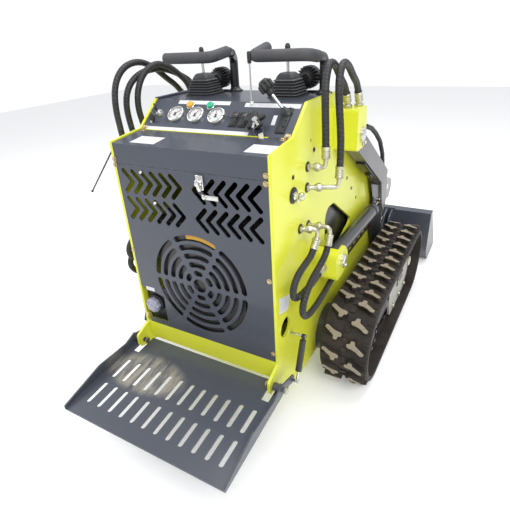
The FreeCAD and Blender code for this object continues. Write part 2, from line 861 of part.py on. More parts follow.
def tiltRodPiece():
    return piston(tiltBase, tiltTop, tiltRod, tiltLine, 22, 30, 218, tiltBarrel - barrelWall - 0.1)


# --- hitch and bucket -----------------------------------------------------------------
def hitch():
    """The plate that carries the bucket, with its ears for the arms and the tilt cylinders."""
    half = legInner + legWall + 24
    plate = block((bucketBack - hitchWall - mate, bucketBack - mate), (-half, half), (150, bucketHeight + 12))
    made = [plate]
    legOuter = legInner + legWall
    earsAt = ((tiltLine - 30, tiltLine - 20), (legInner - 14, legInner - 4), (legOuter + armGap, legOuter + 13))
    for low, high in earsAt:
        corners = [
            (bucketBack - hitchWall, 150),
            (hitchPivot[0], hitchPivot[1] - 34, 20),
            (hitchPivot[0] - 34, hitchPivot[1], 24),
            (hitchPivot[0] - 10, hitchPivot[1] + 34, 20),
            (tiltTop[0] - 24, tiltTop[1] + 10, 14),
            (tiltTop[0] - 8, tiltTop[1] + 32, 14),
            (bucketBack - hitchWall, 340),
        ]
        ear = slab(corners, low, high)
        made += both(ear)
    return join(*made).cut([rod(hitchPivot, hitchPin, -half, half)])


def hitchPins():
    low = legInner - 14
    shaft = rod(hitchPivot, hitchPin, low - 7, legInner + legWall + 13)
    return both(join(shaft, rod(hitchPivot, hitchPin + 8, low - 8, low)))


def bucketLine(offset):
    """The bucket's side line from the top of its back to the edge of its floor, moved inwards."""
    foot = bucketLift + offset
    return [
        (bucketBack + offset, bucketHeight - offset),
        (bucketBack + offset, 100 + offset * 0.4, 60 - offset),
        (bucketBack + 84, foot, 40 - offset),
        (bucketLip - 40, foot),
    ]


def bucket():
    """Curved back and floor with both side plates and the folded top flange."""
    inner = bucketLine(bucketWall)
    inner[0] = (inner[0][0], bucketHeight + 1)
    inner[-1] = (bucketLip + 40, inner[-1][1])
    solid = slab(bucketLine(0) + [(bucketLip - 40, 30), (bucketBack + 44, bucketHeight)], -bucketHalf, bucketHalf)
    half = bucketHalf - bucketWall
    hollow = slab(inner + [(bucketLip + 40, bucketHeight + 1)], -half, half)
    flange = block((bucketBack, bucketBack + 60), (-bucketHalf, bucketHalf), (bucketHeight - 8, bucketHeight))
    return join(solid.cut(hollow), flange)


def bucketEdge():
    """The cutting edge: a thick bar on the floor, stepped down ahead of it."""
    floor = bucketLift + bucketWall
    rear = bucketLip - 130
    corners = [
        (rear, floor),
        (bucketLip - 40, floor),
        (bucketLip - 40, bucketLift),
        (bucketLip - 2, bucketLift),
        (bucketLip, bucketLift + 3),
        (bucketLip - 34, floor + edgeWall),
        (rear, floor + edgeWall),
    ]
    return slab(corners, -bucketHalf + bucketWall, bucketHalf - bucketWall)


# --- platform -------------------------------------------------------------------------
def platform():
    """The standing plate with its slots, its two side flanges and their studs for the gas springs."""
    front = foldPin[0] + 34
    neck = foldPin[0] - 52
    top = foldPin[1] - 14
    fall = platformDrop / (front - platformRear)

    def deckPart(low, high, right, left):
        """The deck between two places along X and two across."""
        upper = [(x, top - (front - x) * fall) for x in (low, high)]
        lower = [(x, z - platformWall) for x, z in reversed(upper)]
        return slab(upper + lower, right, left)

    half = platformHalf - flangeWall
    deck = [deckPart(platformRear, neck, -half - 1, half + 1), deckPart(neck - 1, front, 12 - plateInner, plateInner - 12)]
    deck += both(deckPart(neck - 1, front, bodyHalf + earGap, half + 1))
    slots = []
    for row in range(slotRows):
        for i in range(slotCount):
            place = (platformRear + slotMargin + row * slotRowPitch, (i - (slotCount - 1) / 2) * slotPitch)
            ends = [(u * slotLength / 2, v * slotHalf) for u, v in ((-1, -1), (1, -1), (1, 1), (-1, 1))]
            corners = [(place[0] + u, place[1] + v, slotHalf - 0.1) for u, v in ends]
            slots.append(slab(corners, top - 60, top + 1, "xy"))
    base = top - platformWall
    rear = base - platformDrop
    flange = slab(
        [
            (platformRear, rear),
            (platformRear, rear + 16, 8),
            (platformRear + flangeTaper, foldPin[1] + flangeRise, 20),
            (foldPin[0] - 60, foldPin[1] + flangeRise, 10),
            (foldPin[0] - 14, foldPin[1] + 22, 12),
            (springFoot[0] + 14, springFoot[1] + 14, 10),
            (springFoot[0] + 14, springFoot[1] - 16, 10),
            (front, base),
        ],
        platformHalf - flangeWall,
        platformHalf,
    )
    stud = rod(springFoot, springStud, platformHalf - 1, springLine - 5 - mate)
    pin = rod(foldPin, foldPinRadius, plateInner - 3, platformHalf + 3)
    spacer = rod(foldPin, foldPinRadius + 5, bodyHalf + 0.5, platformHalf - 1)
    shell = join(*deck, *both(flange))
    return join(shell.cut(slots), *both(stud), *both(pin), *both(spacer))


def springBarrelPiece():
    start = Vector(springTop[0], springLine, springTop[1])
    end = Vector(springFoot[0], springLine, springFoot[1])
    aim = (end - start).normalize()
    tube = bar(start + aim * 14, start + aim * 124, springRadius)
    eye = rod(springTop, 8, springLine - 6, springLine + 6)
    neck = bar(start, start + aim * 15, 5)
    bore = bar(start + aim * 20, start + aim * 125, springRadius - 2)
    return join(eye, neck, tube).cut([bore, rod(springTop, springStud + pinClear, 300, 400)])


def springRodPiece():
    start = Vector(springTop[0], springLine, springTop[1])
    end = Vector(springFoot[0], springLine, springFoot[1])
    aim = (end - start).normalize()
    shaft = bar(end - aim * 136, end, 4)
    eye = rod(springFoot, 8, springLine - 5, springLine + 6)
    return join(shaft, eye)


# --- hoses ----------------------------------------------------------------------------
# Routes of the hoses' middle lines, from the end at the body's side port to the far end.
rightInner = [
    (249, -345, 982),
    (246, -345, 1030),
    (240, -344, 1100),
    (244, -341, 1168),
    (282, -337, 1218),
    (344, -333, 1208),
    (408, -329, 1160),
    (466, -325, 1132),
    (486, -324, 1102),
]
rightOuter = [
    (280, -380, 916),
    (285, -380, 966),
    (277, -379, 1040),
    (263, -376, 1118),
    (272, -371, 1182),
    (316, -366, 1216),
    (380, -361, 1202),
    (446, -357, 1162),
    (506, -353, 1134),
    (524, -352, 1102),
]
leftRear = [
    (152, 385, 960),
    (149, 386, 1012),
    (144, 387, 1100),
    (162, 386, 1174),
    (214, 384, 1222),
    (290, 382, 1234),
    (362, 380, 1208),
    (420, 376, 1163),
    (466, 366, 1130),
    (482, 359, 1102),
]
leftMiddle = [
    (204, 381, 982),
    (193, 381, 1032),
    (189, 380, 1104),
    (212, 375, 1160),
    (266, 364, 1196),
    (342, 355, 1205),
    (412, 352, 1193),
    (480, 347, 1166),
    (530, 339, 1136),
    (542, 337, 1104),
]
leftFront = [
    (236, 350, 984),
    (226, 350, 1032),
    (214, 349, 1086),
    (222, 346, 1142),
    (256, 341, 1194),
    (318, 334, 1224),
    (388, 329, 1208),
    (446, 326, 1170),
    (486, 324, 1134),
    (498, 324, 1102),
]
lowOuter = [
    (246, 362, 672),
    (238, 361, 642),
    (190, 358, 618),
    (126, 356, 600),
    (68, 360, 580),
    (36, 360, 544),
    (52, 358, 500),
    (108, 352, 470),
    (180, 347, 458),
    (252, 344, 458),
    (322, 340, 462),
    (376, 337, 464),
    (404, 334, 465),
]
lowInner = [
    (178, 340, 684),
    (160, 339, 664),
    (116, 338, 656),
    (58, 337, 646),
    (24, 336, 616),
    (28, 334, 578),
    (72, 331, 554),
    (138, 329, 542),
    (196, 328, 538),
    (230, 328, 542),
    (258, 328, 543),
]


def hose(route):
    """A round tube along a route; each bend is as large as its two runs allow. Prints the tightest bend."""
    points = [Vector(*p) for p in route]
    edges = []
    start = points[0]
    radii = []
    for i in range(1, len(points) - 1):
        corner = points[i]
        back = points[i - 1] - corner
        ahead = points[i + 1] - corner
        reach = 0.45 * min(back.Length, ahead.Length)
        turn = math.pi - back.getAngle(ahead)
        bend = reach / math.tan(turn / 2)
        first = corner + back.normalize() * reach
        last = corner + ahead.normalize() * reach
        inward = (back + ahead).normalize()
        crown = corner + inward * (bend / math.cos(turn / 2) - bend)
        edges.append(Part.LineSegment(start, first).toShape())
        edges.append(Part.Arc(first, crown, last).toShape())
        radii.append(bend)
        start = last
    edges.append(Part.LineSegment(start, points[-1]).toShape())
    path = Part.Wire(edges)
    ring = Part.Wire([Part.Circle(points[0], points[1] - points[0], hoseRadius).toShape()])
    made = path.makePipeShell([ring], True, False)
    share = made.Volume / (math.pi * hoseRadius**2 * path.Length)
    print("hose length %.0f, tightest bend %.0f, volume share %.4f" % (path.Length, min(radii), share))
    return made


def sleeve(end, beside):
    """The crimped sleeve at a hose's end, and the point at its far face."""
    end = Vector(*end)
    back = end + (end - Vector(*beside)).normalize() * sleeveLength
    return bar(back, end, sleeveRadius), back


def portFitting(port, route):
    """Nut on the side port, bent pipe and sleeve at a hose's first end."""
    side = math.copysign(1, route[0][1])
    piece, back = sleeve(route[0], route[1])
    low, high = sorted((side * bodyHalf, side * (bodyHalf + 16)))
    nut = rod(port, nutRadius, low, high)
    pipe = tube([Vector(port[0], side * (bodyHalf + 15), port[1]), Vector(back.x, back.y, port[1]), back], pipeRadius, 12)
    return join(nut, pipe, piece)


def towerFitting(route):
    """Sleeve and nut on the flat top of an arm's tower, at a hose's far end."""
    piece, back = sleeve(route[-1], route[-2])
    top = armPivot[1] + 90
    nut = rod((back.x, back.y), nutRadius - 2, top, back.z + 4, "xy")
    return join(nut, piece)


def bracketFitting(route):
    """Sleeve and nut on the rear plate of a lift cylinder's bracket."""
    piece, back = sleeve(route[-1], route[-2])
    nut = rod((back.y, back.z), nutRadius - 2, back.x - 2, liftBase[0] - bracketReach, "yz")
    return join(nut, piece)


def frontFitting(route):
    """Sleeve, bent pipe and nut on the side plate, in front of the bracket."""
    piece, back = sleeve(route[-1], route[-2])
    place = (back.x + 22, back.z)
    corner = Vector(place[0], back.y, place[1])
    pipe = tube([back, corner, Vector(place[0], bodyHalf + 10, place[1])], pipeRadius, 12)
    return join(piece, pipe, rod(place, nutRadius - 2, bodyHalf, bodyHalf + 12))


def hoseFittings():
    low = [
        portFitting(lowerPorts[0], lowInner),
        portFitting(lowerPorts[1], lowOuter),
        bracketFitting(lowInner),
        frontFitting(lowOuter),
    ]
    made = low + [mirrored(piece) for piece in low]
    upper = (
        (upperPorts[0], rightInner),
        (upperPorts[1], rightOuter),
        (leftPort, leftRear),
        (upperPorts[1], leftMiddle),
        (upperPorts[0], leftFront),
    )
    for port, route in upper:
        made += [portFitting(port, route), towerFitting(route)]
    return made


# --- small body pieces ----------------------------------------------------------------
def sideKnob():
    return join(rod(knobPlace, 24, bodyHalf, bodyHalf + 8), rod(knobPlace, 12, bodyHalf, bodyHalf + 34))


def latch():
    return join(
        slab([(-66, 900, 12), (-42, 900, 12), (-42, 946, 12), (-66, 946, 12)], -8, 0, "yz"),
        rod((-54, 924), 7, -16, -7, "yz"),
    )


# --- saving ---------------------------------------------------------------------------
os.makedirs("parts", exist_ok=True)

save("side_plate_left", sidePlate(upperPorts + lowerPorts + (leftPort,)))
save("side_plate_right", mirrored(sidePlate(upperPorts + lowerPorts)))
save("belly_plate", belly())
save("front_plate", frontPlate())
save("rear_beam", rearBeam())
save("rear_panel", rearPanel())
save("panel_latch", latch())
save("top_cover", topCover())
save("console", console())
save("hood", hood())
save("engine", engine())
save("radiator", radiator())
save("dash_instruments", *gauges(), *switches())
save("throttle_lever", throttle(), chokeRod())
save("joystick_boots", *both(boot()))
save("joysticks", *both(joystick()))
save("work_lamps", *[workLamp(place) for place in lampPlaces])
save("grab_bars", gripTube(leftBar), gripTube(rightBar))
save("hand_grips", grip(leftBar, 1, 0.85), grip(rightBar, 2, 0.5))
save("side_knobs", *both(sideKnob()))
save("arm_towers", *both(tower()))
save("cylinder_brackets", *both(cylinderBracket()))
save("side_strips", *both(sideStrip()))
save("filler_cap", fillerCap())
save("hoses_right", hose(rightInner), hose(rightOuter))
save("hoses_left", hose(leftRear), hose(leftMiddle), hose(leftFront))
save("hoses_low", *both(hose(lowInner)), *both(hose(lowOuter)))
save("hose_fittings", *hoseFittings())
save("body_pins", *bodyPins())
saveSides("track", track())
save("track_frames", *both(trackFrame()))
save("drive_sprockets", *both(wheel(trackRear)))
save("idler_wheels", *both(wheel(trackFront)))
save("track_rollers", *rollerSet(), *[mirrored(r) for r in rollerSet()])
save("drive_motors", *both(driveMotor()))
save("arm_beams", *both(armBeam()))
save("arm_legs", *both(armLeg()))
save("toe_plates", *both(toePlate()))
save("cross_tube", crossTube())
save("tilt_pins", *tiltPins())
save("lift_barrels", *both(liftBarrelPiece()))
save("lift_rods", *both(liftRodPiece()))
save("tilt_barrels", *both(tiltBarrelPiece()))
save("tilt_rods", *both(tiltRodPiece()))
save("hitch_plate", hitch())
save("hitch_pins", *hitchPins())
save("bucket", bucket())
save("bucket_edge", bucketEdge())
save("platform", platform())
save("spring_barrels", *both(springBarrelPiece()))
save("spring_rods", *both(springRodPiece()))
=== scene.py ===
import json
import math

import bmesh
import bpy
from mathutils import Matrix, Vector

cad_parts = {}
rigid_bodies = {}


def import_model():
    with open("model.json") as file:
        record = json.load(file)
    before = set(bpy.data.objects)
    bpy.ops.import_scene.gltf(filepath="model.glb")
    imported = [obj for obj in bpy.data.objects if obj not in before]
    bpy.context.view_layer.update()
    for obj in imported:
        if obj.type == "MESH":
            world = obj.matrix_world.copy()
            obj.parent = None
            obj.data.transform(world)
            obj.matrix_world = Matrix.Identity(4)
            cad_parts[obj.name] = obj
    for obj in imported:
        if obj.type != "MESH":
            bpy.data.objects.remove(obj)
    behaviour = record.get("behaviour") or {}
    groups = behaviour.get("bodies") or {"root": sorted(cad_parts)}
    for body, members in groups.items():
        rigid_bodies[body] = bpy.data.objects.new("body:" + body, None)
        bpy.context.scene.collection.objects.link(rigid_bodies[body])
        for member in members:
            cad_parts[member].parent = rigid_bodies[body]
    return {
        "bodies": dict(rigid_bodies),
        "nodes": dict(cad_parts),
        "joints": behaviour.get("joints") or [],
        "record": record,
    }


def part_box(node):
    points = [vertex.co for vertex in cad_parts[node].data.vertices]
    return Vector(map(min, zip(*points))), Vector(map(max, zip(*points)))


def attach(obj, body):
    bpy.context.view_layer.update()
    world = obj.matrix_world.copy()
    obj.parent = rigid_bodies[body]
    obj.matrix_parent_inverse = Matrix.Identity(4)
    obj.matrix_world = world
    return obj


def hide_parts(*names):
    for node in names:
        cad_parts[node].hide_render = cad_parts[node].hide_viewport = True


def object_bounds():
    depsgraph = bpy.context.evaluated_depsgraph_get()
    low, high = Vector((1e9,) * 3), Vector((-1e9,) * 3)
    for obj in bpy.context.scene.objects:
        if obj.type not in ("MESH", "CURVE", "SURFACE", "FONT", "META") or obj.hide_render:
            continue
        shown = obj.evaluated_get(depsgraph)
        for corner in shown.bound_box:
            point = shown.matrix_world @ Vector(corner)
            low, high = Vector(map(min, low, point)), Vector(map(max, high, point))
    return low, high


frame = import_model()
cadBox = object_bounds()
nodes = frame["nodes"]
scene = bpy.context.scene
scene.view_settings.view_transform = "Standard"
ops = bmesh.ops
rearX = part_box("rear_panel")[0][0]    # X of the rear panel's outer face
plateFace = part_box("side_plate_left")[1][1]    # Y of the side plates' outer faces


def spot(x, y, z):
    # a place measured from the rear panel, the middle and the ground
    return Vector((rearX + x, y, z))


def at(x, y, z):
    # the same, in millimetres
    return spot(x / 1000, y / 1000, z / 1000)


# wraps a number socket, so that plain sums add Math nodes
class Sock:
    def __init__(self, tree, socket):
        self.tree = tree
        self.socket = socket

    def maths(self, operation, other=None, swap=False, clamp=False):
        node = self.tree.nodes.new("ShaderNodeMath")
        node.operation = operation
        node.use_clamp = clamp
        values = [self, other] if not swap else [other, self]
        for slot, value in zip(node.inputs, values):
            if isinstance(value, Sock):
                self.tree.links.new(value.socket, slot)
            elif value is not None:
                slot.default_value = value
        return Sock(self.tree, node.outputs[0])

    def __add__(self, other):
        return self.maths("ADD", other)

    def __sub__(self, other):
        return self.maths("SUBTRACT", other)

    def __mul__(self, other):
        return self.maths("MULTIPLY", other)

    def __truediv__(self, other):
        return self.maths("DIVIDE", other)

    def __rsub__(self, other):
        return self.maths("SUBTRACT", other, swap=True)

    def __rtruediv__(self, other):
        return self.maths("DIVIDE", other, swap=True)

    __radd__ = __add__
    __rmul__ = __mul__

    def clamped(self):
        return self.maths("ADD", 0.0, clamp=True)


# a node tree and the one way to add a node to it
class Nodes:
    def __init__(self, tree):
        self.tree = tree

    def node(self, kind, settings=None, inputs=None):
        node = self.tree.nodes.new("ShaderNode" + kind)
        for key, value in (settings or {}).items():
            setattr(node, key, value)
        for key, value in (inputs or {}).items():
            self.feed(node.inputs[key], value)
        return node

    def feed(self, slot, value):
        if isinstance(value, Sock):
            self.tree.links.new(value.socket, slot)
        elif isinstance(value, bpy.types.NodeSocket):
            self.tree.links.new(value, slot)
        else:
            slot.default_value = value

    def sock(self, node, name=0):
        return Sock(self.tree, node.outputs[name])


# a material, and the few calls that build its look
class Finish(Nodes):
    def __init__(self, name):
        self.material = bpy.data.materials.new(name)
        self.material.use_nodes = True
        super().__init__(self.material.node_tree)
        self.shader = self.tree.nodes["Principled BSDF"]
        self.place = self.node("TexCoord").outputs["Object"]

    def axes(self, vector=None):
        split = self.node("SeparateXYZ", None, {"Vector": vector or self.place})
        return [self.sock(split, k) for k in range(3)]

    def noise(self, scale, detail=3.0, rough=0.5, vector=None):
        values = {"Scale": scale, "Detail": detail, "Roughness": rough, "Vector": vector or self.place}
        return self.sock(self.node("TexNoise", None, values), "Fac")

    def ramp(self, factor, low, high):
        # 0 under low, 1 over high, smooth between
        values = {"Value": factor, "From Min": low, "From Max": high}
        return self.sock(self.node("MapRange", {"interpolation_type": "SMOOTHSTEP"}, values))

    def blend(self, factor, first, second):
        mix = self.node("Mix", {"data_type": "RGBA"})
        self.feed(mix.inputs[0], factor)
        for slot, value in ((mix.inputs[6], first), (mix.inputs[7], second)):
            self.feed(slot, value if not isinstance(value, tuple) else value + (1.0,))
        return mix.outputs[2]

    def rounded(self, width):
        # the normal as if edges were rounded off to a radius
        return self.node("Bevel", {"samples": 4}, {"Radius": width}).outputs["Normal"]

    def edges(self, width):
        # 1 along sharp edges, 0 on flat faces
        flat = self.node("NewGeometry").outputs["Normal"]
        dot = self.node("VectorMath", {"operation": "DOT_PRODUCT"}, {0: self.rounded(width), 1: flat})
        return self.ramp(self.sock(dot, "Value"), 0.995, 0.86)

    def bump(self, height, strength, distance, soften=0.0):
        bump = self.node("Bump", None, {"Height": height, "Strength": strength, "Distance": distance})
        if soften:
            self.feed(bump.inputs["Normal"], self.rounded(soften))
        self.feed(self.shader.inputs["Normal"], bump.outputs["Normal"])

    def set(self, **values):
        names = {
            "colour": "Base Color",
            "roughness": "Roughness",
            "metallic": "Metallic",
            "coat": "Coat Weight",
            "coatRoughness": "Coat Roughness",
            "specular": "Specular IOR Level",
            "glow": "Emission Color",
            "glowPower": "Emission Strength",
        }
        for key, value in values.items():
            slot = self.shader.inputs[names[key]]
            self.feed(slot, value + (1.0,) if isinstance(value, tuple) else value)
        return self.material


# finishes

# colour, shade, rubbed edges, roughness, coat and dust
paints = {
    "yellow": ((0.72, 0.74, 0.034), (0.66, 0.69, 0.03), (0.4, 0.42, 0.09), 0.34, 0.35, 0.12),
    "slate": ((0.048, 0.056, 0.078), (0.039, 0.046, 0.065), (0.2, 0.2, 0.21), 0.38, 0.3, 0.15),
    "deck": ((0.068, 0.076, 0.1), (0.046, 0.052, 0.07), (0.16, 0.16, 0.17), 0.34, 0.2, 0.05),
    "beam": ((0.105, 0.094, 0.102), (0.072, 0.065, 0.07), (0.34, 0.33, 0.32), 0.36, 0.25, 0.1),
    "barrel": ((0.058, 0.058, 0.066), (0.04, 0.04, 0.046), (0.2, 0.2, 0.2), 0.3, 0.35, 0.1),
    "stone": ((0.42, 0.42, 0.37), (0.31, 0.31, 0.28), (0.55, 0.54, 0.5), 0.46, 0.05, 0.25),
    "black": ((0.016, 0.016, 0.018), (0.011, 0.011, 0.012), (0.1, 0.1, 0.1), 0.36, 0.2, 0.12),
}
drySoil = (0.3, 0.27, 0.22)
# the patch where a foot rests: rubbed bare metal, painted brighter in part as a reflection of its sheen
footWearAndSheen = {
    "place": (rearX - 0.165, 0.165),
    "reach": (0.095, 0.185),
    "bareMetalAndSheen": (0.34, 0.31, 0.25),
}


def deckWearAndSheen(f, colour):
    # where a foot rests the standing plate is painted brighter and slightly golden: rubbed to bare metal,
    # and partly a painted reflection of its sheen
    x, y = f.axes()[:2]
    along = (x - footWearAndSheen["place"][0]) / footWearAndSheen["reach"][0]
    across = (y - footWearAndSheen["place"][1]) / footWearAndSheen["reach"][1]
    near = f.ramp(along * along + across * across, 1.0, 0.35)
    stretch = f.node("Mapping", {"vector_type": "TEXTURE"}, {"Vector": f.place, "Scale": (5.0, 1.0, 1.0)})
    streak = f.noise(46.0, 5.0, 0.7, stretch.outputs[0])
    return f.blend(near * f.ramp(streak, 0.32, 0.62) * 0.85, colour, footWearAndSheen["bareMetalAndSheen"])


def paintFinish(name):
    # enamel with orange peel, dust that thickens towards the ground and rubbed edges
    base, shade, rubbed, roughness, coat, dusty = paints[name]
    f = Finish(name + "Paint")
    height = f.axes()[2]
    cloud = f.noise(3.0, 4.0, 0.6)
    speck = f.noise(160.0, 2.0, 0.6)
    rub = f.edges(0.0022) * f.ramp(f.noise(38.0, 3.0, 0.7), 0.42, 0.6)
    dust = (f.ramp(height, 0.75, 0.0) * f.ramp(cloud + speck * 0.25, 0.45, 0.8) * dusty).clamped()
    colour = f.blend(cloud, base, shade)
    colour = f.blend(dust, colour, drySoil)
    colour = f.blend(rub * 0.7, colour, rubbed)
    peel = f.noise(420.0, 1.0, 0.4) + f.noise(26.0, 2.0, 0.4) * 1.5
    f.bump(peel, 0.1, 0.0006, 0.0016)
    if name == "deck":
        # the deck's foot patch: worn bare metal and painted sheen
        colour = deckWearAndSheen(f, colour)
    if name == "stone":
        # only the forward half of a track frame is pale, and the rest is black
        colour = f.blend(f.ramp(f.axes()[0], 0.02, 0.03), (0.02, 0.02, 0.021), colour)
    f.set(colour=colour, roughness=cloud * 0.1 + dust * 0.5 + rub * 0.1 + (roughness - 0.05))
    return f.set(coat=coat, coatRoughness=0.12)


def steelFinish(name, colour, roughness, streak):
    # bare or plated steel with fine scratches and a little tarnish
    f = Finish(name)
    fine = f.noise(streak, 3.0, 0.7)
    cloud = f.noise(14.0, 3.0, 0.6)
    dark = tuple(c * 0.55 for c in colour)
    f.bump(fine, 0.12, 0.0004, 0.0008)
    f.set(colour=f.blend(f.ramp(cloud, 0.45, 0.75) * 0.5, colour, dark))
    return f.set(metallic=1.0, roughness=fine * 0.16 + cloud * 0.12 + (roughness - 0.14))


def rubberFinish(name, colour, bumpScale, strength, roughness=0.62, dust=0.25):
    f = Finish(name)
    cloud = f.noise(9.0, 4.0, 0.65)
    fine = f.noise(bumpScale, 3.0, 0.6)
    dusty = (f.ramp(cloud, 0.46, 0.72) * dust).clamped()
    f.bump(fine, strength, 0.0006)
    f.set(colour=f.blend(dusty, colour, (0.2, 0.175, 0.15)))
    return f.set(roughness=dusty * 0.6 + fine * 0.08 + (roughness - 0.04))


def treadFinish():
    # brown-black rubber, with pale dry soil on the lugs' tips and in patches over the belt
    f = Finish("treadRubber")
    tip = f.sock(f.node("Attribute", {"attribute_name": "tip"}), "Fac")
    cloud = f.noise(11.0, 5.0, 0.7)
    fine = f.noise(140.0, 4.0, 0.7)
    soil = (f.ramp(cloud + fine * 0.3, 0.52, 0.82) * 0.55).clamped()
    worn = (tip * f.ramp(fine * 0.5 + cloud * 0.5, 0.3, 0.46)).clamped()
    colour = f.blend(soil, (0.018, 0.014, 0.012), (0.062, 0.048, 0.039))
    colour = f.blend(worn * 0.92, colour, (0.3, 0.255, 0.195))
    f.bump(fine + cloud * 0.6, 0.45, 0.0012)
    return f.set(colour=colour, roughness=soil * 0.2 + worn * 0.15 + 0.62, specular=0.35)


def hoseFinish():
    # black hose in a spiral guard: the turns follow the curve's own map
    f = Finish("hoseGuard")
    uv = f.node("UVMap")
    along, around = f.axes(uv.outputs[0])[:2]
    wave = (along * 46.0 + around).maths("FRACT")
    ridge = f.ramp(wave, 0.0, 0.16) * f.ramp(wave, 1.0, 0.84)
    cloud = f.noise(30.0, 4.0, 0.6)
    f.bump(ridge + cloud * 0.15, 0.7, 0.0022)
    colour = f.blend(ridge, (0.004, 0.004, 0.004), (0.02, 0.019, 0.021))
    colour = f.blend(f.ramp(cloud, 0.5, 0.8) * 0.3, colour, (0.1, 0.092, 0.085))
    return f.set(colour=colour, roughness=0.5 - ridge * 0.06 + cloud * 0.12)


def labelFinish():
    f = Finish("blankLabel")
    cloud = f.noise(24.0, 4.0, 0.6)
    f.bump(cloud, 0.05, 0.0005)
    f.set(colour=f.blend(f.ramp(cloud, 0.4, 0.8) * 0.25, (0.66, 0.66, 0.68), (0.45, 0.44, 0.42)))
    return f.set(roughness=cloud * 0.1 + 0.34)


def plainFinish(name, colour, roughness, coat=0.0):
    # moulded plastic or rubber: slight mottling and grain
    f = Finish(name)
    fine = f.noise(360.0, 2.0, 0.6)
    cloud = f.noise(60.0, 3.0, 0.6)
    f.bump(fine, 0.12, 0.0003, 0.0006)
    dark = tuple(c * 0.78 for c in colour)
    f.set(colour=f.blend(cloud, colour, dark), roughness=cloud * 0.12 + (roughness - 0.06))
    return f.set(coat=coat)


finish = {name: paintFinish(name) for name in paints}
finish.update({
    "bright": steelFinish("brightSteel", (0.7, 0.69, 0.67), 0.24, 220.0),
    "worn": steelFinish("wornSteel", (0.36, 0.355, 0.35), 0.46, 90.0),
    "brass": steelFinish("brassPlate", (0.62, 0.5, 0.3), 0.36, 160.0),
    "rubber": rubberFinish("bellowsRubber", (0.021, 0.021, 0.023), 260.0, 0.25),
    "foam": rubberFinish("gripFoam", (0.055, 0.055, 0.062), 520.0, 0.7, 0.66, 0.12),
    "tread": treadFinish(),
    "hose": hoseFinish(),
    "label": labelFinish(),
    "boot": plainFinish("bootRubber", (0.05, 0.051, 0.056), 0.5),
    "plastic": plainFinish("blackPlastic", (0.018, 0.018, 0.019), 0.42),
    "orange": plainFinish("orangePlastic", (0.85, 0.4, 0.01), 0.32, coat=0.4),
    "green": plainFinish("greenPlastic", (0.01, 0.42, 0.22), 0.32, coat=0.4),
    "dial": plainFinish("dialFace", (0.62, 0.63, 0.62), 0.3),
    "red": plainFinish("redLens", (0.1, 0.062, 0.055), 0.3, coat=0.3),
    "pointer": plainFinish("gaugePointer", (0.4, 0.02, 0.012), 0.4),
    "zinc": steelFinish("zincPlate", (0.56, 0.54, 0.43), 0.34, 180.0),
    "tan": plainFinish("tanTag", (0.66, 0.61, 0.46), 0.5),
    "glass": plainFinish("lampLens", (0.55, 0.57, 0.58), 0.08, coat=0.6),
    "lilac": plainFinish("lilacCap", (0.36, 0.36, 0.46), 0.34, coat=0.3),
    "amber": plainFinish("amberTrim", (0.56, 0.3, 0.012), 0.4),
    "engine": rubberFinish("engineCasting", (0.02, 0.02, 0.022), 90.0, 0.5, 0.3),
})

dressed = {
    "yellow":
        "side_plate_left side_plate_right belly_plate "
        "front_plate rear_beam arm_towers cylinder_brackets",
    "slate": "rear_panel top_cover console hood hitch_plate bucket",
    "deck": "platform",
    "beam": "arm_beams cross_tube",
    "barrel": "lift_barrels tilt_barrels",
    "stone": "track_frames toe_plates",
    "black":
        "arm_legs side_strips radiator drive_motors spring_barrels "
        "drive_sprockets idler_wheels track_rollers grab_bars filler_cap",
    "bright":
        "body_pins tilt_pins hitch_pins side_knobs "
        "panel_latch lift_rods tilt_rods spring_rods hose_fittings",
    "worn": "bucket_edge",
    "engine": "engine",
    "foam": "hand_grips",
    "plastic": "joysticks throttle_lever work_lamps dash_instruments",
    "rubber": "joystick_boots",
    "tread": "track_left track_right",
    "hose": "hoses_left hoses_right hoses_low",
}
for key, names in dressed.items():
    for name in names.split():
        for slot in nodes[name].material_slots:
            slot.material = finish[key]
print("finishes made")


# mesh helpers: sizes are in millimetres, and places are vectors in metres

up = Vector((0, 0, 1))
rearward = Vector((-1, 0, 0))
sides = ((1, "left"), (-1, "right"))
outwards = ((1, Vector((0, 1, 0))), (-1, Vector((0, -1, 0))))


def turnTo(direction):
    # turns +Z to a direction
    return Vector(direction).to_track_quat("Z", "Y").to_matrix().to_4x4()


def facing(place, direction):
    return Matrix.Translation(Vector(place)) @ turnTo(direction)


def offset(x, y, z):
    return Vector((x / 1000, y / 1000, z / 1000))


def shifted(x, y, z):
    return Matrix.Translation(offset(x, y, z))


def swung(axis, degrees):
    return Matrix.Rotation(math.radians(degrees), 4, axis)


def newMeshes(count):
    return [bmesh.new() for _ in range(count)]


def newObject(name, data):
    made = bpy.data.objects.new(name, data)
    scene.collection.objects.link(made)
    return made


def meshFrom(name, bm):
    mesh = bpy.data.meshes.new(name)
    bm.to_mesh(mesh)
    bm.free()
    return mesh


def merge(bm, own, matrix=None):
    # own, put in its place, becomes part of bm
    if matrix:
        ops.transform(own, matrix=matrix, verts=own.verts)
    mesh = meshFrom("part", own)
    bm.from_mesh(mesh)
    bpy.data.meshes.remove(mesh)


def piece(name, bm, look, stands=None, body="chassis", smooth=40):
    # a finished object that rides on a body and may stand for one of the frame's nodes
    mesh = meshFrom(name, bm)
    if smooth:
        for face in mesh.polygons:
            face.use_smooth = True
        mesh.set_sharp_from_angle(angle=math.radians(smooth))
    mesh.materials.append(finish[look])
    made = newObject(name, mesh)
    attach(made, body)
    if stands:
        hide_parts(stands)
    return made


def pieces(stands, *rows):
    for name, bm, look in rows:
        piece(name, bm, look, stands)


def vertsOf(geom):
    return [g for g in geom if isinstance(g, bmesh.types.BMVert)]


def edgesOf(geom):
    return [g for g in geom if isinstance(g, bmesh.types.BMEdge)]


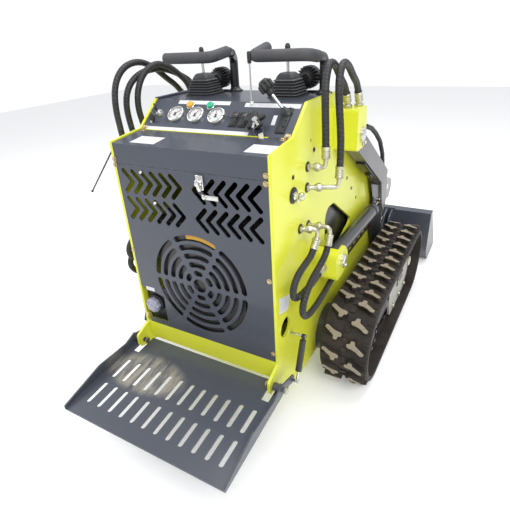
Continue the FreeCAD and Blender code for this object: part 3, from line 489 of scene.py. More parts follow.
def swept(bm, edges):
    # the new verts and edges of a wall raised from edges
    geom = ops.extrude_edge_only(bm, edges=edges)["geom"]
    return vertsOf(geom), edgesOf(geom)


def closedRing(bm, places):
    verts = [bm.verts.new(p) for p in places]
    return verts, [bm.edges.new((a, b)) for a, b in zip(verts, verts[1:] + verts[:1])]


def spin(bm, geom, centre, axis, angle, steps, joined=False):
    return ops.spin(
        bm, geom=geom, cent=centre, axis=axis, dvec=(0, 0, 0),
        angle=angle, steps=steps, use_merge=joined, use_duplicate=False,
    )["geom_last"]


def spinRound(bm, steps):
    # turns all that bm holds about Z, and closes the seam and the poles
    spin(bm, list(bm.verts) + list(bm.edges), (0, 0, 0), up, math.tau, steps, True)
    ops.remove_doubles(bm, verts=bm.verts, dist=1e-6)
    ops.recalc_face_normals(bm, faces=bm.faces)


def bevelEdges(bm, edges, width, segments):
    ops.bevel(
        bm, geom=edges, offset=width / 1000, affect="EDGES", segments=segments, profile=0.5, material=-1,
        clamp_overlap=True,
    )


def softenEdges(bm, width, segments):
    limit = math.radians(32)
    sharp = [e for e in bm.edges if len(e.link_faces) == 2 and e.calc_face_angle(0.0) > limit]
    bevelEdges(bm, sharp, width, segments)


def turned(bm, profile, place, direction, steps=24):
    # (radius, height) points turned about an axis through place
    own = bmesh.new()
    verts = [own.verts.new((r / 1000, 0, h / 1000)) for r, h in profile]
    for pair in zip(verts, verts[1:]):
        own.edges.new(pair)
    spinRound(own, steps)
    merge(bm, own, facing(place, direction))


def addRod(bm, start, end, radius, segments=24):
    start, end = Vector(start), Vector(end)
    ops.create_cone(
        bm, cap_ends=True, segments=segments, radius1=radius / 1000, radius2=radius / 1000,
        depth=(end - start).length, matrix=facing((start + end) / 2, end - start),
    )


def torus(bm, place, direction, large, small, segments=12):
    own = bmesh.new()
    matrix = shifted(large, 0, 0) @ swung("X", 90)
    ops.create_circle(own, segments=segments, radius=small / 1000, matrix=matrix)
    spinRound(own, 28)
    merge(bm, own, facing(place, direction))


def ball(bm, place, radius, segments):
    ops.create_uvsphere(
        bm, u_segments=segments, v_segments=segments // 2 + 2, radius=radius / 1000,
        matrix=Matrix.Translation(place),
    )


def prism(bm, corners, depth, matrix, soften=0, segments=2):
    # an outline in the matrix's XY plane, raised along its Z
    own = bmesh.new()
    own.faces.new([own.verts.new((x / 1000, y / 1000, 0)) for x, y in corners])
    raised = ops.extrude_face_region(own, geom=list(own.faces))
    ops.translate(own, verts=vertsOf(raised["geom"]), vec=(0, 0, depth / 1000))
    ops.recalc_face_normals(own, faces=own.faces)
    if soften:
        softenEdges(own, soften, segments)
    merge(bm, own, matrix)


def block(bm, low, high, matrix, soften, segments=3):
    # a box between two corners, with rounded edges
    own = bmesh.new()
    low, high = offset(*low), offset(*high)
    size = Matrix.Diagonal((*(high - low), 1))
    ops.create_cube(own, size=1.0, matrix=Matrix.Translation((low + high) / 2) @ size)
    softenEdges(own, soften, segments)
    merge(bm, own, matrix)


def slab(bm, long, wide, low, high, matrix, soften, segments=3):
    # a box centred in X and Y, from its half sizes and its two heights
    block(bm, (-long, -wide, low), (long, wide, high), matrix, soften, segments)


def rectangle(long, wide):
    return [(-long, -wide), (long, -wide), (long, wide), (-long, wide)]


def lobed(count, radius, depth=0, lobes=0):
    # an outline round a circle, waved in and out
    made = []
    for i in range(count):
        angle = math.tau * i / count
        reach = radius + depth * math.cos(lobes * angle)
        made.append((reach * math.cos(angle), reach * math.sin(angle)))
    return made


def hexagon(across):
    return lobed(6, across / 2 / math.cos(math.pi / 6))


def hexNut(bm, place, direction, across, tall):
    prism(bm, hexagon(across), tall, facing(place, direction), 1.2)


def hexBolt(bm, place, direction, across, tall, washer):
    # a bolt head on its washer, standing on a face
    turned(bm, [(0, 0), (washer, 0), (washer, 1.2), (washer - 0.6, 1.8), (0, 1.8)], place, direction)
    prism(bm, hexagon(across), tall, facing(place, direction) @ shifted(0, 0, 1.8), 0.7, 1)


def button(bm, place, direction, radius):
    # a low domed head with a socket
    shares = (
        (1.35, 0), (1.35, 0.9), (1, 1), (1, 1.575), (0.8, 2.975), (0.5, 3.5), (0.42, 3.5), (0.36, 1.75),
        (0, 1.575),
    )
    turned(bm, [(share * radius, high) for share, high in shares], place, direction, 20)


def tube(bm, points, radius, bend, segments=20):
    # a rigid tube along straight runs with rounded corners
    points = [Vector(p) for p in points]
    bend = bend / 1000
    line = [points[0]]
    for before, corner, after in zip(points, points[1:], points[2:]):
        back, ahead = (before - corner).normalized(), (after - corner).normalized()
        half = back.angle(ahead) / 2
        reach = bend / math.tan(half)
        centre = corner + (back + ahead).normalized() * (bend / math.sin(half))
        first, last = corner + back * reach - centre, corner + ahead * reach - centre
        steps = max(3, round(math.degrees(math.pi - 2 * half) / 12))
        for i in range(steps + 1):
            line.append(centre + first.slerp(last, i / steps).normalized() * bend)
    line.append(points[-1])
    own = bmesh.new()
    start = facing(line[0], line[1] - line[0])
    ops.create_circle(own, segments=segments, radius=radius / 1000, matrix=start)
    edges = list(own.edges)
    ops.contextual_create(own, geom=edges)
    aim = (line[1] - line[0]).normalized()
    for i in range(1, len(line)):
        verts, edges = swept(own, edges)
        run = line[i] - line[i - 1]
        ops.translate(own, verts=verts, vec=run)
        after = line[min(i + 1, len(line) - 1)] - line[i]
        nextAim = (after.normalized() + run.normalized()).normalized() if after.length else aim
        swing = aim.rotation_difference(nextAim).to_matrix()
        ops.rotate(own, verts=verts, cent=line[i], matrix=swing)
        aim = nextAim
    ops.contextual_create(own, geom=edges)
    ops.recalc_face_normals(own, faces=own.faces)
    merge(bm, own)


# hoses

hoseRadius = 0.011

# the node it stands for, its port (x, z), its length and its route
hoses = {
    "rightInner": ("hoses_right", (240, 925), 484, [
        (249, -345, 982), (246, -345, 1030), (240, -344, 1100), (244, -341, 1168), (282, -337, 1218),
        (344, -333, 1208), (408, -329, 1160), (466, -325, 1132), (486, -324, 1102),
    ]),
    "rightOuter": ("hoses_right", (236, 859), 563, [
        (280, -380, 916), (285, -380, 966), (277, -379, 1040), (263, -376, 1118), (272, -371, 1182),
        (316, -366, 1216), (380, -361, 1202), (446, -357, 1162), (506, -353, 1134), (524, -352, 1102),
    ]),
    "leftRear": ("hoses_left", (168, 900), 598, [
        (152, 385, 960), (149, 386, 1012), (144, 387, 1100), (162, 386, 1174), (214, 384, 1222),
        (290, 382, 1234), (362, 380, 1208), (420, 376, 1163), (466, 366, 1130), (482, 359, 1102),
    ]),
    "leftMiddle": ("hoses_left", (236, 859), 559, [
        (204, 381, 982), (193, 381, 1032), (189, 380, 1104), (212, 375, 1160), (266, 364, 1196),
        (342, 355, 1205), (412, 352, 1193), (480, 347, 1166), (530, 339, 1136), (542, 337, 1104),
    ]),
    "leftFront": ("hoses_left", (240, 925), 516, [
        (236, 350, 984), (226, 350, 1032), (214, 349, 1086), (222, 346, 1142), (256, 341, 1194),
        (318, 334, 1224), (388, 329, 1208), (446, 326, 1170), (486, 324, 1134), (498, 324, 1102),
    ]),
    "lowInner": ("hoses_low", (181, 739), 444, [
        (178, 340, 684), (160, 339, 664), (116, 338, 656), (58, 337, 646), (24, 336, 616), (28, 334, 578),
        (72, 331, 554), (138, 329, 542), (196, 328, 538), (230, 328, 542), (258, 328, 543),
    ]),
    "lowOuter": ("hoses_low", (246, 726), 660, [
        (246, 362, 672), (238, 361, 642), (190, 358, 618), (126, 356, 600), (68, 360, 580), (36, 360, 544),
        (52, 358, 500), (108, 352, 470), (180, 347, 458), (252, 344, 458), (322, 340, 462), (376, 337, 464),
        (404, 334, 465),
    ]),
}


def eachHose():
    # the low hoses lie on both sides
    for name, (node, port, length, route) in hoses.items():
        if node == "hoses_low":
            for side, hand in sides:
                yield name + "_" + hand, node, side, port, length, [at(x, side * y, z) for x, y, z in route]
        else:
            yield name, node, 1 if route[0][1] > 0 else -1, port, length, [at(*p) for p in route]


def makeHoses():
    for name, node, _, _, length, route in eachHose():
        curve = bpy.data.curves.new("hose_" + name, "CURVE")
        curve.dimensions = "3D"
        spline = curve.splines.new("NURBS")
        spline.points.add(len(route) - 1)
        for point, place in zip(spline.points, route):
            point.co = place.to_4d()
        spline.order_u = 3
        spline.use_endpoint_u = True
        curve.resolution_u = 12
        curve.bevel_depth = hoseRadius
        curve.bevel_resolution = 5
        made = newObject("hose_" + name, curve)
        curve.materials.append(finish["hose"])
        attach(made, "chassis")
        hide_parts(node)
        length / 1000
    print("hoses made")


# tracks, in metres

track = {
    "rear": 0.424,     # axles, from the rear panel
    "front": 1.13,
    "radius": 0.19,    # to the lugs' tips
    "lug": 0.022,
    "belt": 0.025,
    "inner": 0.335,
    "width": 0.186,
    "lugs": 64,
    "stagger": 0.046,
}
beltRadius = track["radius"] - track["lug"]
beltRun = track["front"] - track["rear"]
beltMiddle = track["inner"] + track["width"] / 2
lugStep = (2 * beltRun + 2 * math.pi * beltRadius) / track["lugs"]


def loopPlace(distance):
    # a point and its outward direction, at a distance along the belt's outer face
    axle, turn = track["radius"], math.pi * beltRadius
    distance = distance % (2 * beltRun + 2 * turn)
    if distance < beltRun:
        return Vector((track["rear"] + distance, 0, axle - beltRadius)), -up
    if distance < beltRun + turn:
        angle = (distance - beltRun) / beltRadius - math.pi / 2
        centre = track["front"]
    elif distance < 2 * beltRun + turn:
        return Vector((track["front"] - (distance - beltRun - turn), 0, axle + beltRadius)), up
    else:
        angle = (distance - 2 * beltRun - turn) / beltRadius + math.pi / 2
        centre = track["rear"]
    out = Vector((math.cos(angle), 0, math.sin(angle)))
    return Vector((centre, 0, axle)) + out * beltRadius, out


def beltFrame(steps, shift=0, hand=1):
    # on the belt, so many lugs' steps along: X across, Y along, Z outwards
    place, out = loopPlace(lugStep * steps)
    across = Vector((0, hand, 0))
    turn = Matrix((across, across.cross(out), out)).transposed().to_4x4()
    return Matrix.Translation(spot(place.x, beltMiddle + shift, place.z)) @ turn


def beltRing():
    # one cross section, run along the ground and turned round both wheels
    own = bmesh.new()
    low, high = track["inner"], track["inner"] + track["width"]
    outer = track["lug"]
    inner = outer + track["belt"]
    section = [
        (low, outer + 0.006), (low + 0.005, outer), (high - 0.005, outer), (high, outer + 0.006),
        (high, inner - 0.003), (high - 0.03, inner), (high - 0.052, inner), (high - 0.056, inner + 0.006),
        (low + 0.056, inner + 0.006), (low + 0.052, inner), (low + 0.03, inner), (low, inner - 0.003),
    ]
    edges = closedRing(own, [spot(track["rear"], y, z) for y, z in section])[1]
    for centre, shift in ((track["front"], beltRun), (track["rear"], -beltRun)):
        moved, edges = swept(own, edges)
        ops.translate(own, verts=moved, vec=(shift, 0, 0))
        middle = spot(centre, 0, track["radius"])
        edges = edgesOf(spin(own, moved + edges, middle, (0, 1, 0), -math.pi, 28))
    ops.remove_doubles(own, verts=own.verts, dist=1e-5)
    ops.recalc_face_normals(own, faces=own.faces)
    return own


def lugShape():
    # a bent bar with a stub, lying on the plane z = 0, its top a little smaller
    own = bmesh.new()
    outline = [
        (-36, 12), (-33, 23), (-22, 24), (-4, 12), (12, 6), (30, 4), (37, -3),
        (35, -14), (24, -16), (19, -30), (5, -30), (2, -14), (-12, -5), (-26, 5),
    ]
    face = own.faces.new([own.verts.new(offset(x, y, -3)) for x, y in outline])
    lifted = vertsOf(ops.extrude_face_region(own, geom=[face])["geom"])
    ops.translate(own, verts=lifted, vec=(0, 0, track["lug"] + 0.003))
    ops.scale(own, vec=(0.93, 0.88, 1), verts=lifted)
    ops.recalc_face_normals(own, faces=own.faces)
    bevelEdges(own, [e for e in own.edges if all(v in lifted for v in e.verts)], 1.8, 1)
    return meshFrom("lug", own)


def makeTrack(name, side, node):
    bm = beltRing()
    lug = lugShape()
    for i in range(track["lugs"]):
        hand = 1 if i % 2 else -1
        own = bmesh.new()
        own.from_mesh(lug)
        merge(bm, own, beltFrame(i + 0.5, hand * track["stagger"], -hand))
    bpy.data.meshes.remove(lug)
    # low pads along the middle of the belt and thin ribs out to its edges
    for i in range(track["lugs"]):
        frame = beltFrame(i)
        slab(bm, 12, 9, -2, 4.5, frame, 1.2, 1)
        for low in (-89, 64):
            block(bm, (low, -4.5, -2), (low + 25, 4.5, 3), frame, 1, 1)
    if side < 0:
        ops.scale(bm, vec=(1, -1, 1), verts=bm.verts)
        ops.reverse_faces(bm, faces=bm.faces)
    made = piece(name, bm, "tread", node, smooth=35)
    tip = made.data.attributes.new("tip", "FLOAT", "FACE")
    for face in made.data.polygons:
        x = face.center.x - rearX
        nearest = min(max(x, track["rear"]), track["front"])
        reach = math.hypot(x - nearest, face.center.z - track["radius"]) - beltRadius
        tip.data[face.index].value = 1.0 if reach > track["lug"] * 0.93 else 0.0


# console

console = {
    "ledge": (143, 1031),      # foot of the slope, (x, z)
    "top": (243, 1112),
    "gauges": ((162, -50), (81, -28), (0, 12)),    # place, and the pointer's turn in degrees
    "gaugeShare": 0.51,
    "buttons": {"orange": 121, "green": 40},
    "buttonShare": 0.815,
    "rockers": {"left": -70, "right": -103},
    "rockerShare": 0.45,
    "key": (0.52, 232),
    "knob": (0.3, -158),
    "slot": (0.48, -238, 41, 11),    # share, line, half length, half width
    "throttleTop": (204, -176, 1162),
    "choke": (0.94, -105),
    "chokeTop": 1.254,    # metres above the ground
}
slopeRun, slopeRise = (b - a for a, b in zip(console["ledge"], console["top"]))


def slopeFrame(share, y, height=0, turn=0):
    # X up the sloping panel, Y to the left, Z off the sheet; turn is in radians
    x, z = console["ledge"]
    lean = Matrix.Rotation(-math.atan2(slopeRise, slopeRun), 4, "Y")
    foot = Matrix.Translation(at(x + slopeRun * share, y, z + slopeRise * share))
    return foot @ lean @ shifted(0, 0, height) @ Matrix.Rotation(turn, 4, "Z")


slopeNormal = slopeFrame(0, 0).to_3x3() @ up


def onSlope(share, y, height=0):
    return slopeFrame(share, y, height).translation


def standing(bm, profile, share, y, steps=28):
    # a turned shape that stands on the sloping panel
    turned(bm, profile, onSlope(share, y), slopeNormal, steps)


def makeGauges():
    rings, faces, marks, pointers = newMeshes(4)
    share = console["gaugeShare"]
    bezel = [(30.8, 0), (30.8, 5), (30, 8.5), (28, 10.5), (26.2, 10.8), (25.2, 9.8), (24.8, 7.2)]
    for y, swing in console["gauges"]:
        standing(rings, bezel, share, y, 48)
        standing(faces, [(25.2, 6.5), (20, 7.4), (0, 7.8)], share, y, 36)
        for i in range(19):
            long = 5.5 if i % 3 == 0 else 3
            frame = slopeFrame(share, y, 7.4, math.radians(135 - 15 * i))
            block(marks, (23.5 - long, -0.5, 0), (23.5, 0.5, 0.8), frame, 0.1, 1)
        frame = slopeFrame(share, y, 8, math.radians(swing))
        prism(pointers, [(-6, -1.2), (19, -0.4), (19, 0.4), (-6, 1.2)], 0.8, frame)
        standing(marks, [(3.4, 7.5), (3.4, 9.6), (2.6, 10.2), (0, 10.3)], share, y, 20)
        slab(marks, 2.2, 5.5, 0, 0.7, slopeFrame(share - 0.055, y, 7.4), 0.2, 1)
    pieces(
        "dash_instruments", ("gauge_bezels", rings, "bright"), ("gauge_faces", faces, "dial"),
        ("gauge_marks", marks, "plastic"), ("gauge_pointers", pointers, "pointer"),
    )


def makeSwitches():
    rims, darks = newMeshes(2)
    for colour, y in console["buttons"].items():
        standing(rims, [(14.5, 0), (14.5, 3), (13.2, 4.5), (12, 4.5)], console["buttonShare"], y)
        cap = bmesh.new()
        domed = [(11.8, 0), (11.8, 8.5), (10.8, 10.8), (8.5, 12), (0, 12.4)]
        standing(cap, domed, console["buttonShare"], y)
        piece("button_" + colour, cap, colour, "dash_instruments")
    for hand, y in console["rockers"].items():
        frame = slopeFrame(console["rockerShare"], y)
        slab(darks, 28.5, 14.5, 0, 3.5, frame, 1.6)
        for x, lean in ((12.5, 9), (-12.5, -9)):
            slab(darks, 12, 10.5, -3, 2.6, frame @ shifted(x, 0, 4.8) @ swung("Y", lean), 1)
        lens = bmesh.new()
        slab(lens, 4.5, 6, 0, 0.9, frame @ shifted(13, 0, 7) @ swung("Y", 9), 0.4, 2)
        piece("rocker_lens_" + hand, lens, "red", "dash_instruments")
    share, y = console["key"]
    standing(rims, [(13.5, 0), (13.5, 2.5), (11.8, 6), (10.5, 11), (0, 11)], share, y)
    frame = slopeFrame(share, y, 0, math.radians(35))
    slab(rims, 4.2, 0.8, 10, 21, frame, 0.3, 1)
    slab(darks, 11.5, 2.6, 20, 41, frame, 2.2)
    ring = onSlope(share, y) + slopeNormal * 0.035 + offset(0, 4, -12)
    torus(rims, ring, (0.4, 1, 0.2), 12.5, 0.9)
    hanging = Matrix.Translation(ring + offset(-7, 8, -22)) @ swung("X", 28)
    slab(darks, 2.4, 10.5, -13, 10, hanging, 2)
    slab(rims, 0.9, 4, -34, -12, hanging, 0.3, 1)
    wire = [onSlope(0.5, -28, 11), onSlope(0.49, -46, 6), onSlope(0.47, -56, 3)]
    tube(darks, wire, 1.3, 4, 10)
    share, y = console["knob"]
    standing(darks, [(15, 0), (15, 4), (9.5, 8), (9, 20), (0, 20)], share, y)
    prism(darks, lobed(60, 25.5, 9, 5), 13, slopeFrame(share, y, 19, 0.3), 3, 3)
    standing(darks, [(10, 31), (10, 34.5), (7, 36.5), (0, 36.8)], share, y, 24)
    piece("switch_rims", rims, "bright", "dash_instruments")
    makeTag()
    piece("switch_bodies", darks, "plastic", "dash_instruments")


def makeTag():
    # the tag tied to the hand knob, with a ring and two keys
    share, y = console["knob"]
    tag, keys = newMeshes(2)
    hang = slopeFrame(-0.02, y - 30, 6, math.radians(28))
    block(tag, (-40, -7.5, 0), (12, 7.5, 1.2), hang, 0.5, 1)
    piece("knob_tag", tag, "tan")
    torus(keys, onSlope(share - 0.2, y - 16, 10), (0.7, 0.6, 0.3), 15, 0.8)
    for turn, out in ((0.15, 33), (0.75, 36)):
        blade = slopeFrame(share - 0.04, y - 6, out, turn)
        block(keys, (-30, -3.6, 0), (-6, 3.6, 1.6), blade, 0.6, 1)
        turned(keys, [(8.5, 0), (8.5, 1.6), (0, 1.6)], blade.translation, slopeNormal, 18)
    piece("knob_keys", keys, "bright")


def makeLevers():
    share, y, long, wide = console["slot"]
    gate, dark, rod, knob, end = newMeshes(5)
    frame = slopeFrame(share, y)
    prism(gate, rectangle(long + 5, wide + 4), 3.5, frame, 1.2)
    # a dark strip over the gate stands for the slot's opening: painted shade
    slab(dark, long, wide - 2, 3, 4, frame, 0.3, 1)
    for k in range(4):
        edge = 16 - long + k * 21.5
        block(dark, (edge, 2 - wide, 3.8), (edge + 6, 8 - wide, 6.2), frame, 1)
    top = at(*console["throttleTop"])
    low = onSlope(0.6, y - 15, -20)
    aim = (top - low).normalized()
    foot = low + aim * 0.03
    addRod(rod, foot, top, 4.8)
    turned(knob, [(17, -10), (16, 4), (10, 12), (6.5, 20), (0, 20.5)], foot, aim)
    turned(knob, [(11, -28), (12.5, -24), (12.5, -14)], top, aim)
    ball(knob, top, 18.5, 24)
    for i in range(9):
        block(knob, (11, -4.2, -12.5), (23.2, 4.2, 12.5), facing(top, aim) @ swung("Z", 40 * i), 4)
    turned(knob, [(16.5, 11), (15.8, 16.5), (11.5, 20.5), (0, 21.8)], top, aim)
    share, y = console["choke"]
    foot = onSlope(share, y)
    tip = Vector((foot.x, foot.y, console["chokeTop"]))
    addRod(rod, foot, tip - offset(0, 0, 20), 2.6, 16)
    standing(rod, [(7.5, 0), (7.5, 4), (4.5, 6.5), (0, 6.5)], share, y, 20)
    turned(end, [(4.5, -33), (6.2, -31), (6.8, -12), (6.6, -3), (5, 0), (0, 0.5)], tip, up, 20)
    pieces(
        "throttle_lever", ("throttle_gate", gate, "plastic"), ("throttle_slot_shade", dark, "engine"),
        ("throttle_knob", knob, "plastic"), ("lever_rods", rod, "bright"), ("choke_cap", end, "plastic"),
    )


def panelFrame(y, z, out=0):
    # X to the left, Y up, Z out of the rear panel
    return Matrix.Translation(at(-out, y, z)) @ Matrix(((0, 0, -1), (1, 0, 0), (0, 1, 0))).to_4x4()


def sideFrame(side, x, z, face=plateFace):
    # X forward, Y up, Z outwards, on an outer face of one side
    turn = Matrix(((1, 0, 0), (0, 0, side), (0, 1, 0))).to_4x4()
    return Matrix.Translation(spot(x / 1000, side * face, z / 1000)) @ turn


def makeStrips():
    # blank pale strips and stickers, a painted edge and the cover's lip
    labels, edge, lip = newMeshes(3)
    for share, low, high, wide in ((0.93, -28, 178, 7.5), (0.9, -272, -84, 8), (0.055, -138, 264, 6.5)):
        slab(labels, wide, (high - low) / 2, 0.1, 0.5, slopeFrame(share, (low + high) / 2), 0.1, 1)
    slab(labels, 18, 6.5, 0.1, 0.6, slopeFrame(console["slot"][0], -205, 0, 0.05), 0.2, 1)
    for x, low, high in ((46, 120, 218), (50, -276, -196)):
        frame = Matrix.Translation(at(x, (low + high) / 2, 1021.5)) @ Matrix.Rotation(-0.1107, 4, "Y")
        slab(labels, 30, (high - low) / 2, 0, 0.6, frame, 0.2, 1)
    slab(labels, 20, 8, 0, 0.6, panelFrame(236, 480), 0.2, 1)
    prism(labels, [(-34, -22), (26, -38), (40, 12), (-30, 36)], 0.6, sideFrame(-1, 54, 530))
    piece("blank_labels", labels, "label", smooth=0)
    x, z = console["ledge"]
    block(edge, (-7, -210, -0.6), (-2, 277, 1.8), Matrix.Translation(at(x, 0, z)), 0.6, 2)
    piece("console_edge", edge, "yellow")
    half = plateFace * 1000
    top = Matrix.Translation(spot(0, 0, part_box("side_plate_left")[1][2]))
    block(lip, (246, half - 12, -4), (476, half + 2.2, 3), top, 1.4)
    piece("cover_lip", lip, "slate")


# joysticks, boots and grips

boot = {"place": (375, 165), "base": 1112, "ribs": 6}


def bootProfile():
    # half widths and heights: a flange, sharp ribs that shrink upwards, a smooth cone and a cap
    made = [(56, 0), (56, 3), (47, 3.6)]
    for k in range(boot["ribs"]):
        low = 4.5 + k * 8.3
        wide = 53.5 - k * 2.7
        made += [(wide, low + 2.8), (wide - 0.8, low + 4.4), (wide - 8.2, low + 8)]
    return made + [(32.2, 56), (28.2, 63), (24.2, 68), (21.5, 70.4), (19, 71.6), (6, 71.8)]


def bellows():
    # rounded squares stacked after the profile
    bm = bmesh.new()
    profile = bootProfile()
    half, level = profile[0]
    ops.create_grid(bm, x_segments=1, y_segments=1, size=half / 1000)
    ops.bevel(
        bm, geom=list(bm.verts), offset=half * 0.34 / 1000, affect="VERTICES",
        segments=5, profile=0.5, material=-1,
    )
    ops.delete(bm, geom=list(bm.faces), context="FACES_ONLY")
    edges = list(bm.edges)
    for wide, high in profile[1:]:
        verts, edges = swept(bm, edges)
        ops.scale(bm, vec=(wide / half, wide / half, 1), verts=verts)
        ops.translate(bm, verts=verts, vec=offset(0, 0, high - level))
        half, level = wide, high
    ops.recalc_face_normals(bm, faces=bm.faces)
    return bm


def makeBoots():
    x, y = boot["place"]
    tip = [(4.8, 52), (7.2, 54), (8.4, 60), (8.8, 70), (8.4, 78), (6.6, 83.5), (3.5, 86), (0, 86.4)]
    for side, hand in sides:
        bm = bellows()
        ops.translate(bm, verts=bm.verts, vec=at(x, side * y, boot["base"]))
        piece("boot_" + hand, bm, "boot", "joystick_boots", smooth=35)
        stick, ends = newMeshes(2)
        foot = at(x, side * y, boot["base"] + 69)
        addRod(stick, foot, foot + offset(0, 0, 62), 4.5, 20)
        turned(ends, tip, foot, up)
        turned(ends, [(7.5, -1), (7, 3), (4.8, 4.5)], foot, up)
        piece("joystick_rod_" + hand, stick, "bright", "joysticks")
        piece("joystick_tip_" + hand, ends, "plastic", "joysticks")


bars = {
    "foam": 17.8,
    "left": [(300, 264, 1237), (300, 75, 1237), (385, 67.4, 1248.9)],
    "right": [(412, -72, 1255), (300, -80, 1237), (300, -268, 1237), (372, -266, 1228)],
    "risers": [
        [(425, 75.5, 1242), (474, 98, 1223), (474, 98, 1116)],
        [(374, -265.5, 1229), (436, -264, 1221), (436, -264, 1116)],
    ],
}


def makeGrips():
    for _, hand in sides:
        bm = bmesh.new()
        route = [at(*p) for p in bars[hand]]
        tube(bm, route, bars["foam"], 26, 28)
        for end, beside in (route[:2], route[:-3:-1]):
            torus(bm, end, end - beside, bars["foam"] - 2.2, 2.2, 10)
        piece("foam_grip_" + hand, bm, "foam", "hand_grips", smooth=50)
    risers = bmesh.new()
    for route in bars["risers"]:
        tube(risers, [at(*p) for p in route], 15, 26, 24)
        x, y = route[-1][:2]
        turned(risers, [(27, 0), (27, 4), (20, 6.5), (16, 14)], at(x, y, 1112.2), up, 28)
    piece("grab_bar_sleeves", risers, "black", smooth=50)


# lamps

lamp = {
    "places": {"left": (470, 150), "right": (470, -200)},
    "height": 1160,
    "deck": 1112,
    "rings": 7,
    "fins": 20,
}


def makeLamps():
    ahead = (1, 0, 0)
    profile = [(0, -40), (13, -40), (16, -37), (20, -36)]
    for k in range(lamp["rings"]):
        back, wide = -35 + k * 3.7, 22.5 + k * 0.9
        profile += [(wide - 4, back), (wide, back + 0.4), (wide, back + 1.8), (wide - 4, back + 2.2)]
    profile += [(30, -8.5), (34.2, -6), (35, -2), (35, 15), (33.5, 18), (30, 18), (29, 14)]
    for hand, (x, y) in lamp["places"].items():
        place, low = at(x, y, lamp["height"]), at(x, y, lamp["deck"])
        case, glass = newMeshes(2)
        turned(case, profile, place, ahead, 40)
        for i in range(lamp["fins"]):
            fin = facing(place, ahead) @ swung("Z", 360 * i / lamp["fins"])
            block(case, (20, -1.6, -30), (36.2, 1.6, 12), fin, 1.2, 2)
        for side in (-1, 1):
            slab(case, 8, 2.5, 0, 52, Matrix.Translation(low + offset(4, side * 38.5, 2)), 1)
            hexBolt(case, low + offset(4, side * 41, 48), (0, side, 0), 11, 5, 7.5)
        block(case, (-10, -41, 0), (12, 41, 5), Matrix.Translation(low), 1.2)
        turned(glass, [(29.2, 14), (22, 15.5), (0, 16.2)], place, ahead, 32)
        pieces("work_lamps", ("lamp_case_" + hand, case, "plastic"), ("lamp_lens_" + hand, glass, "glass"))


# hose fittings

fitting = {"pipe": 7.2, "sleeve": 13.6, "sleeveLength": 34, "grooves": 3}


def addSleeve(bm, end, beside):
    # crimped sleeve on a hose's end: returns the middle of its far face
    aim = (end - beside).normalized()
    wide, long = fitting["sleeve"], fitting["sleeveLength"]
    profile = [(wide - 1.2, -8), (wide, -7)]
    for k in range(fitting["grooves"]):
        step = 2 + k * 7.5
        profile += [(wide, step - 2), (wide - 1.1, step), (wide - 1.1, step + 3), (wide, step + 4.5)]
    profile += [(wide, long - 6), (wide - 3, long - 3.5), (9.5, long - 3), (9, long), (0, long)]
    turned(bm, profile, end, aim, 28)
    return end + aim * (long / 1000)


def portPipe(metal, darks, port, route, side):
    # black ring in the plate's port, union nuts, bent pipe and the hose's sleeve
    back = addSleeve(metal, route[0], route[1])
    start = sideFrame(side, *port).translation
    out = Vector((0, side, 0))
    turned(darks, [(16.5, 0), (16.5, 2), (12, 3.2), (0, 3.4)], start, out, 28)
    corner = Vector((back.x, back.y, start.z))
    tube(metal, [start + out * 0.002, corner, back], fitting["pipe"], 13)
    reach = corner - start
    aim = reach.normalized()
    union = start + aim * min(reach.length * 0.42, 0.03)
    hexNut(metal, union, aim, 25, 13)
    turned(metal, [(10, -6), (10.5, -4), (10.5, 0)], union, aim)
    turned(metal, [(10.5, 13), (9.8, 17), (7.4, 18)], union, aim)
    turned(metal, [(10.5, 0), (10.5, 6), (7.5, 8)], start + out * 0.002, out)


def makeFittings():
    metal, darks = newMeshes(2)
    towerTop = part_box("arm_towers")[1][2]
    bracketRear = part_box("cylinder_brackets")[0][0]
    for name, node, side, port, _, route in eachHose():
        portPipe(metal, darks, port, route, side)
        back = addSleeve(metal, route[-1], route[-2])
        if node != "hoses_low":
            top = Vector((back.x, back.y, towerTop))
            hexNut(metal, top, up, 28, (back.z - top.z) * 1000 - 4)
            addRod(metal, top, back, 9.5, 20)
        elif name.startswith("lowInner"):
            face = Vector((bracketRear, back.y, back.z))
            hexNut(metal, face, rearward, 28, 8)
            addRod(metal, back, face, 9.5, 20)
        else:
            corner = back + offset(22, 0, 0)
            foot = Vector((corner.x, side * plateFace, corner.z))
            tube(metal, [back, corner, foot], fitting["pipe"], 12, 18)
            hexNut(metal, foot, (0, side, 0), 28, 10)
    pieces("hose_fittings", ("hose_ends", metal, "zinc"), ("port_rings", darks, "plastic"))


# panel, plates and small metalwork

detail = {
    "panelBolts": (
        (281, 965), (283, 946), (-273, 966), (-272, 943), (-271, 358), (-270, 638), (280, 635), (272, 356),
    ),
    "clips": ((175, 931), (136, 833)),
    "latch": (-54, 923),
    "catch": (-84, 879),
    "cap": (238, 407),
    "notch": (175, 280, 345, 460),
    "sideKnob": (132, 868),
    "sideBolts": ((133, 923, 5.5), (291, 966, 6)),
    "bores": ((640, 768), (708, 704), (775, 641)),
    "keepers": (("arm_towers", 520, 970, 46), ("cylinder_brackets", 370, 550, 40)),
    "shadeInset": 0.026,
    "window": (404, 728, 520, 722),
    "fan": 552,
}


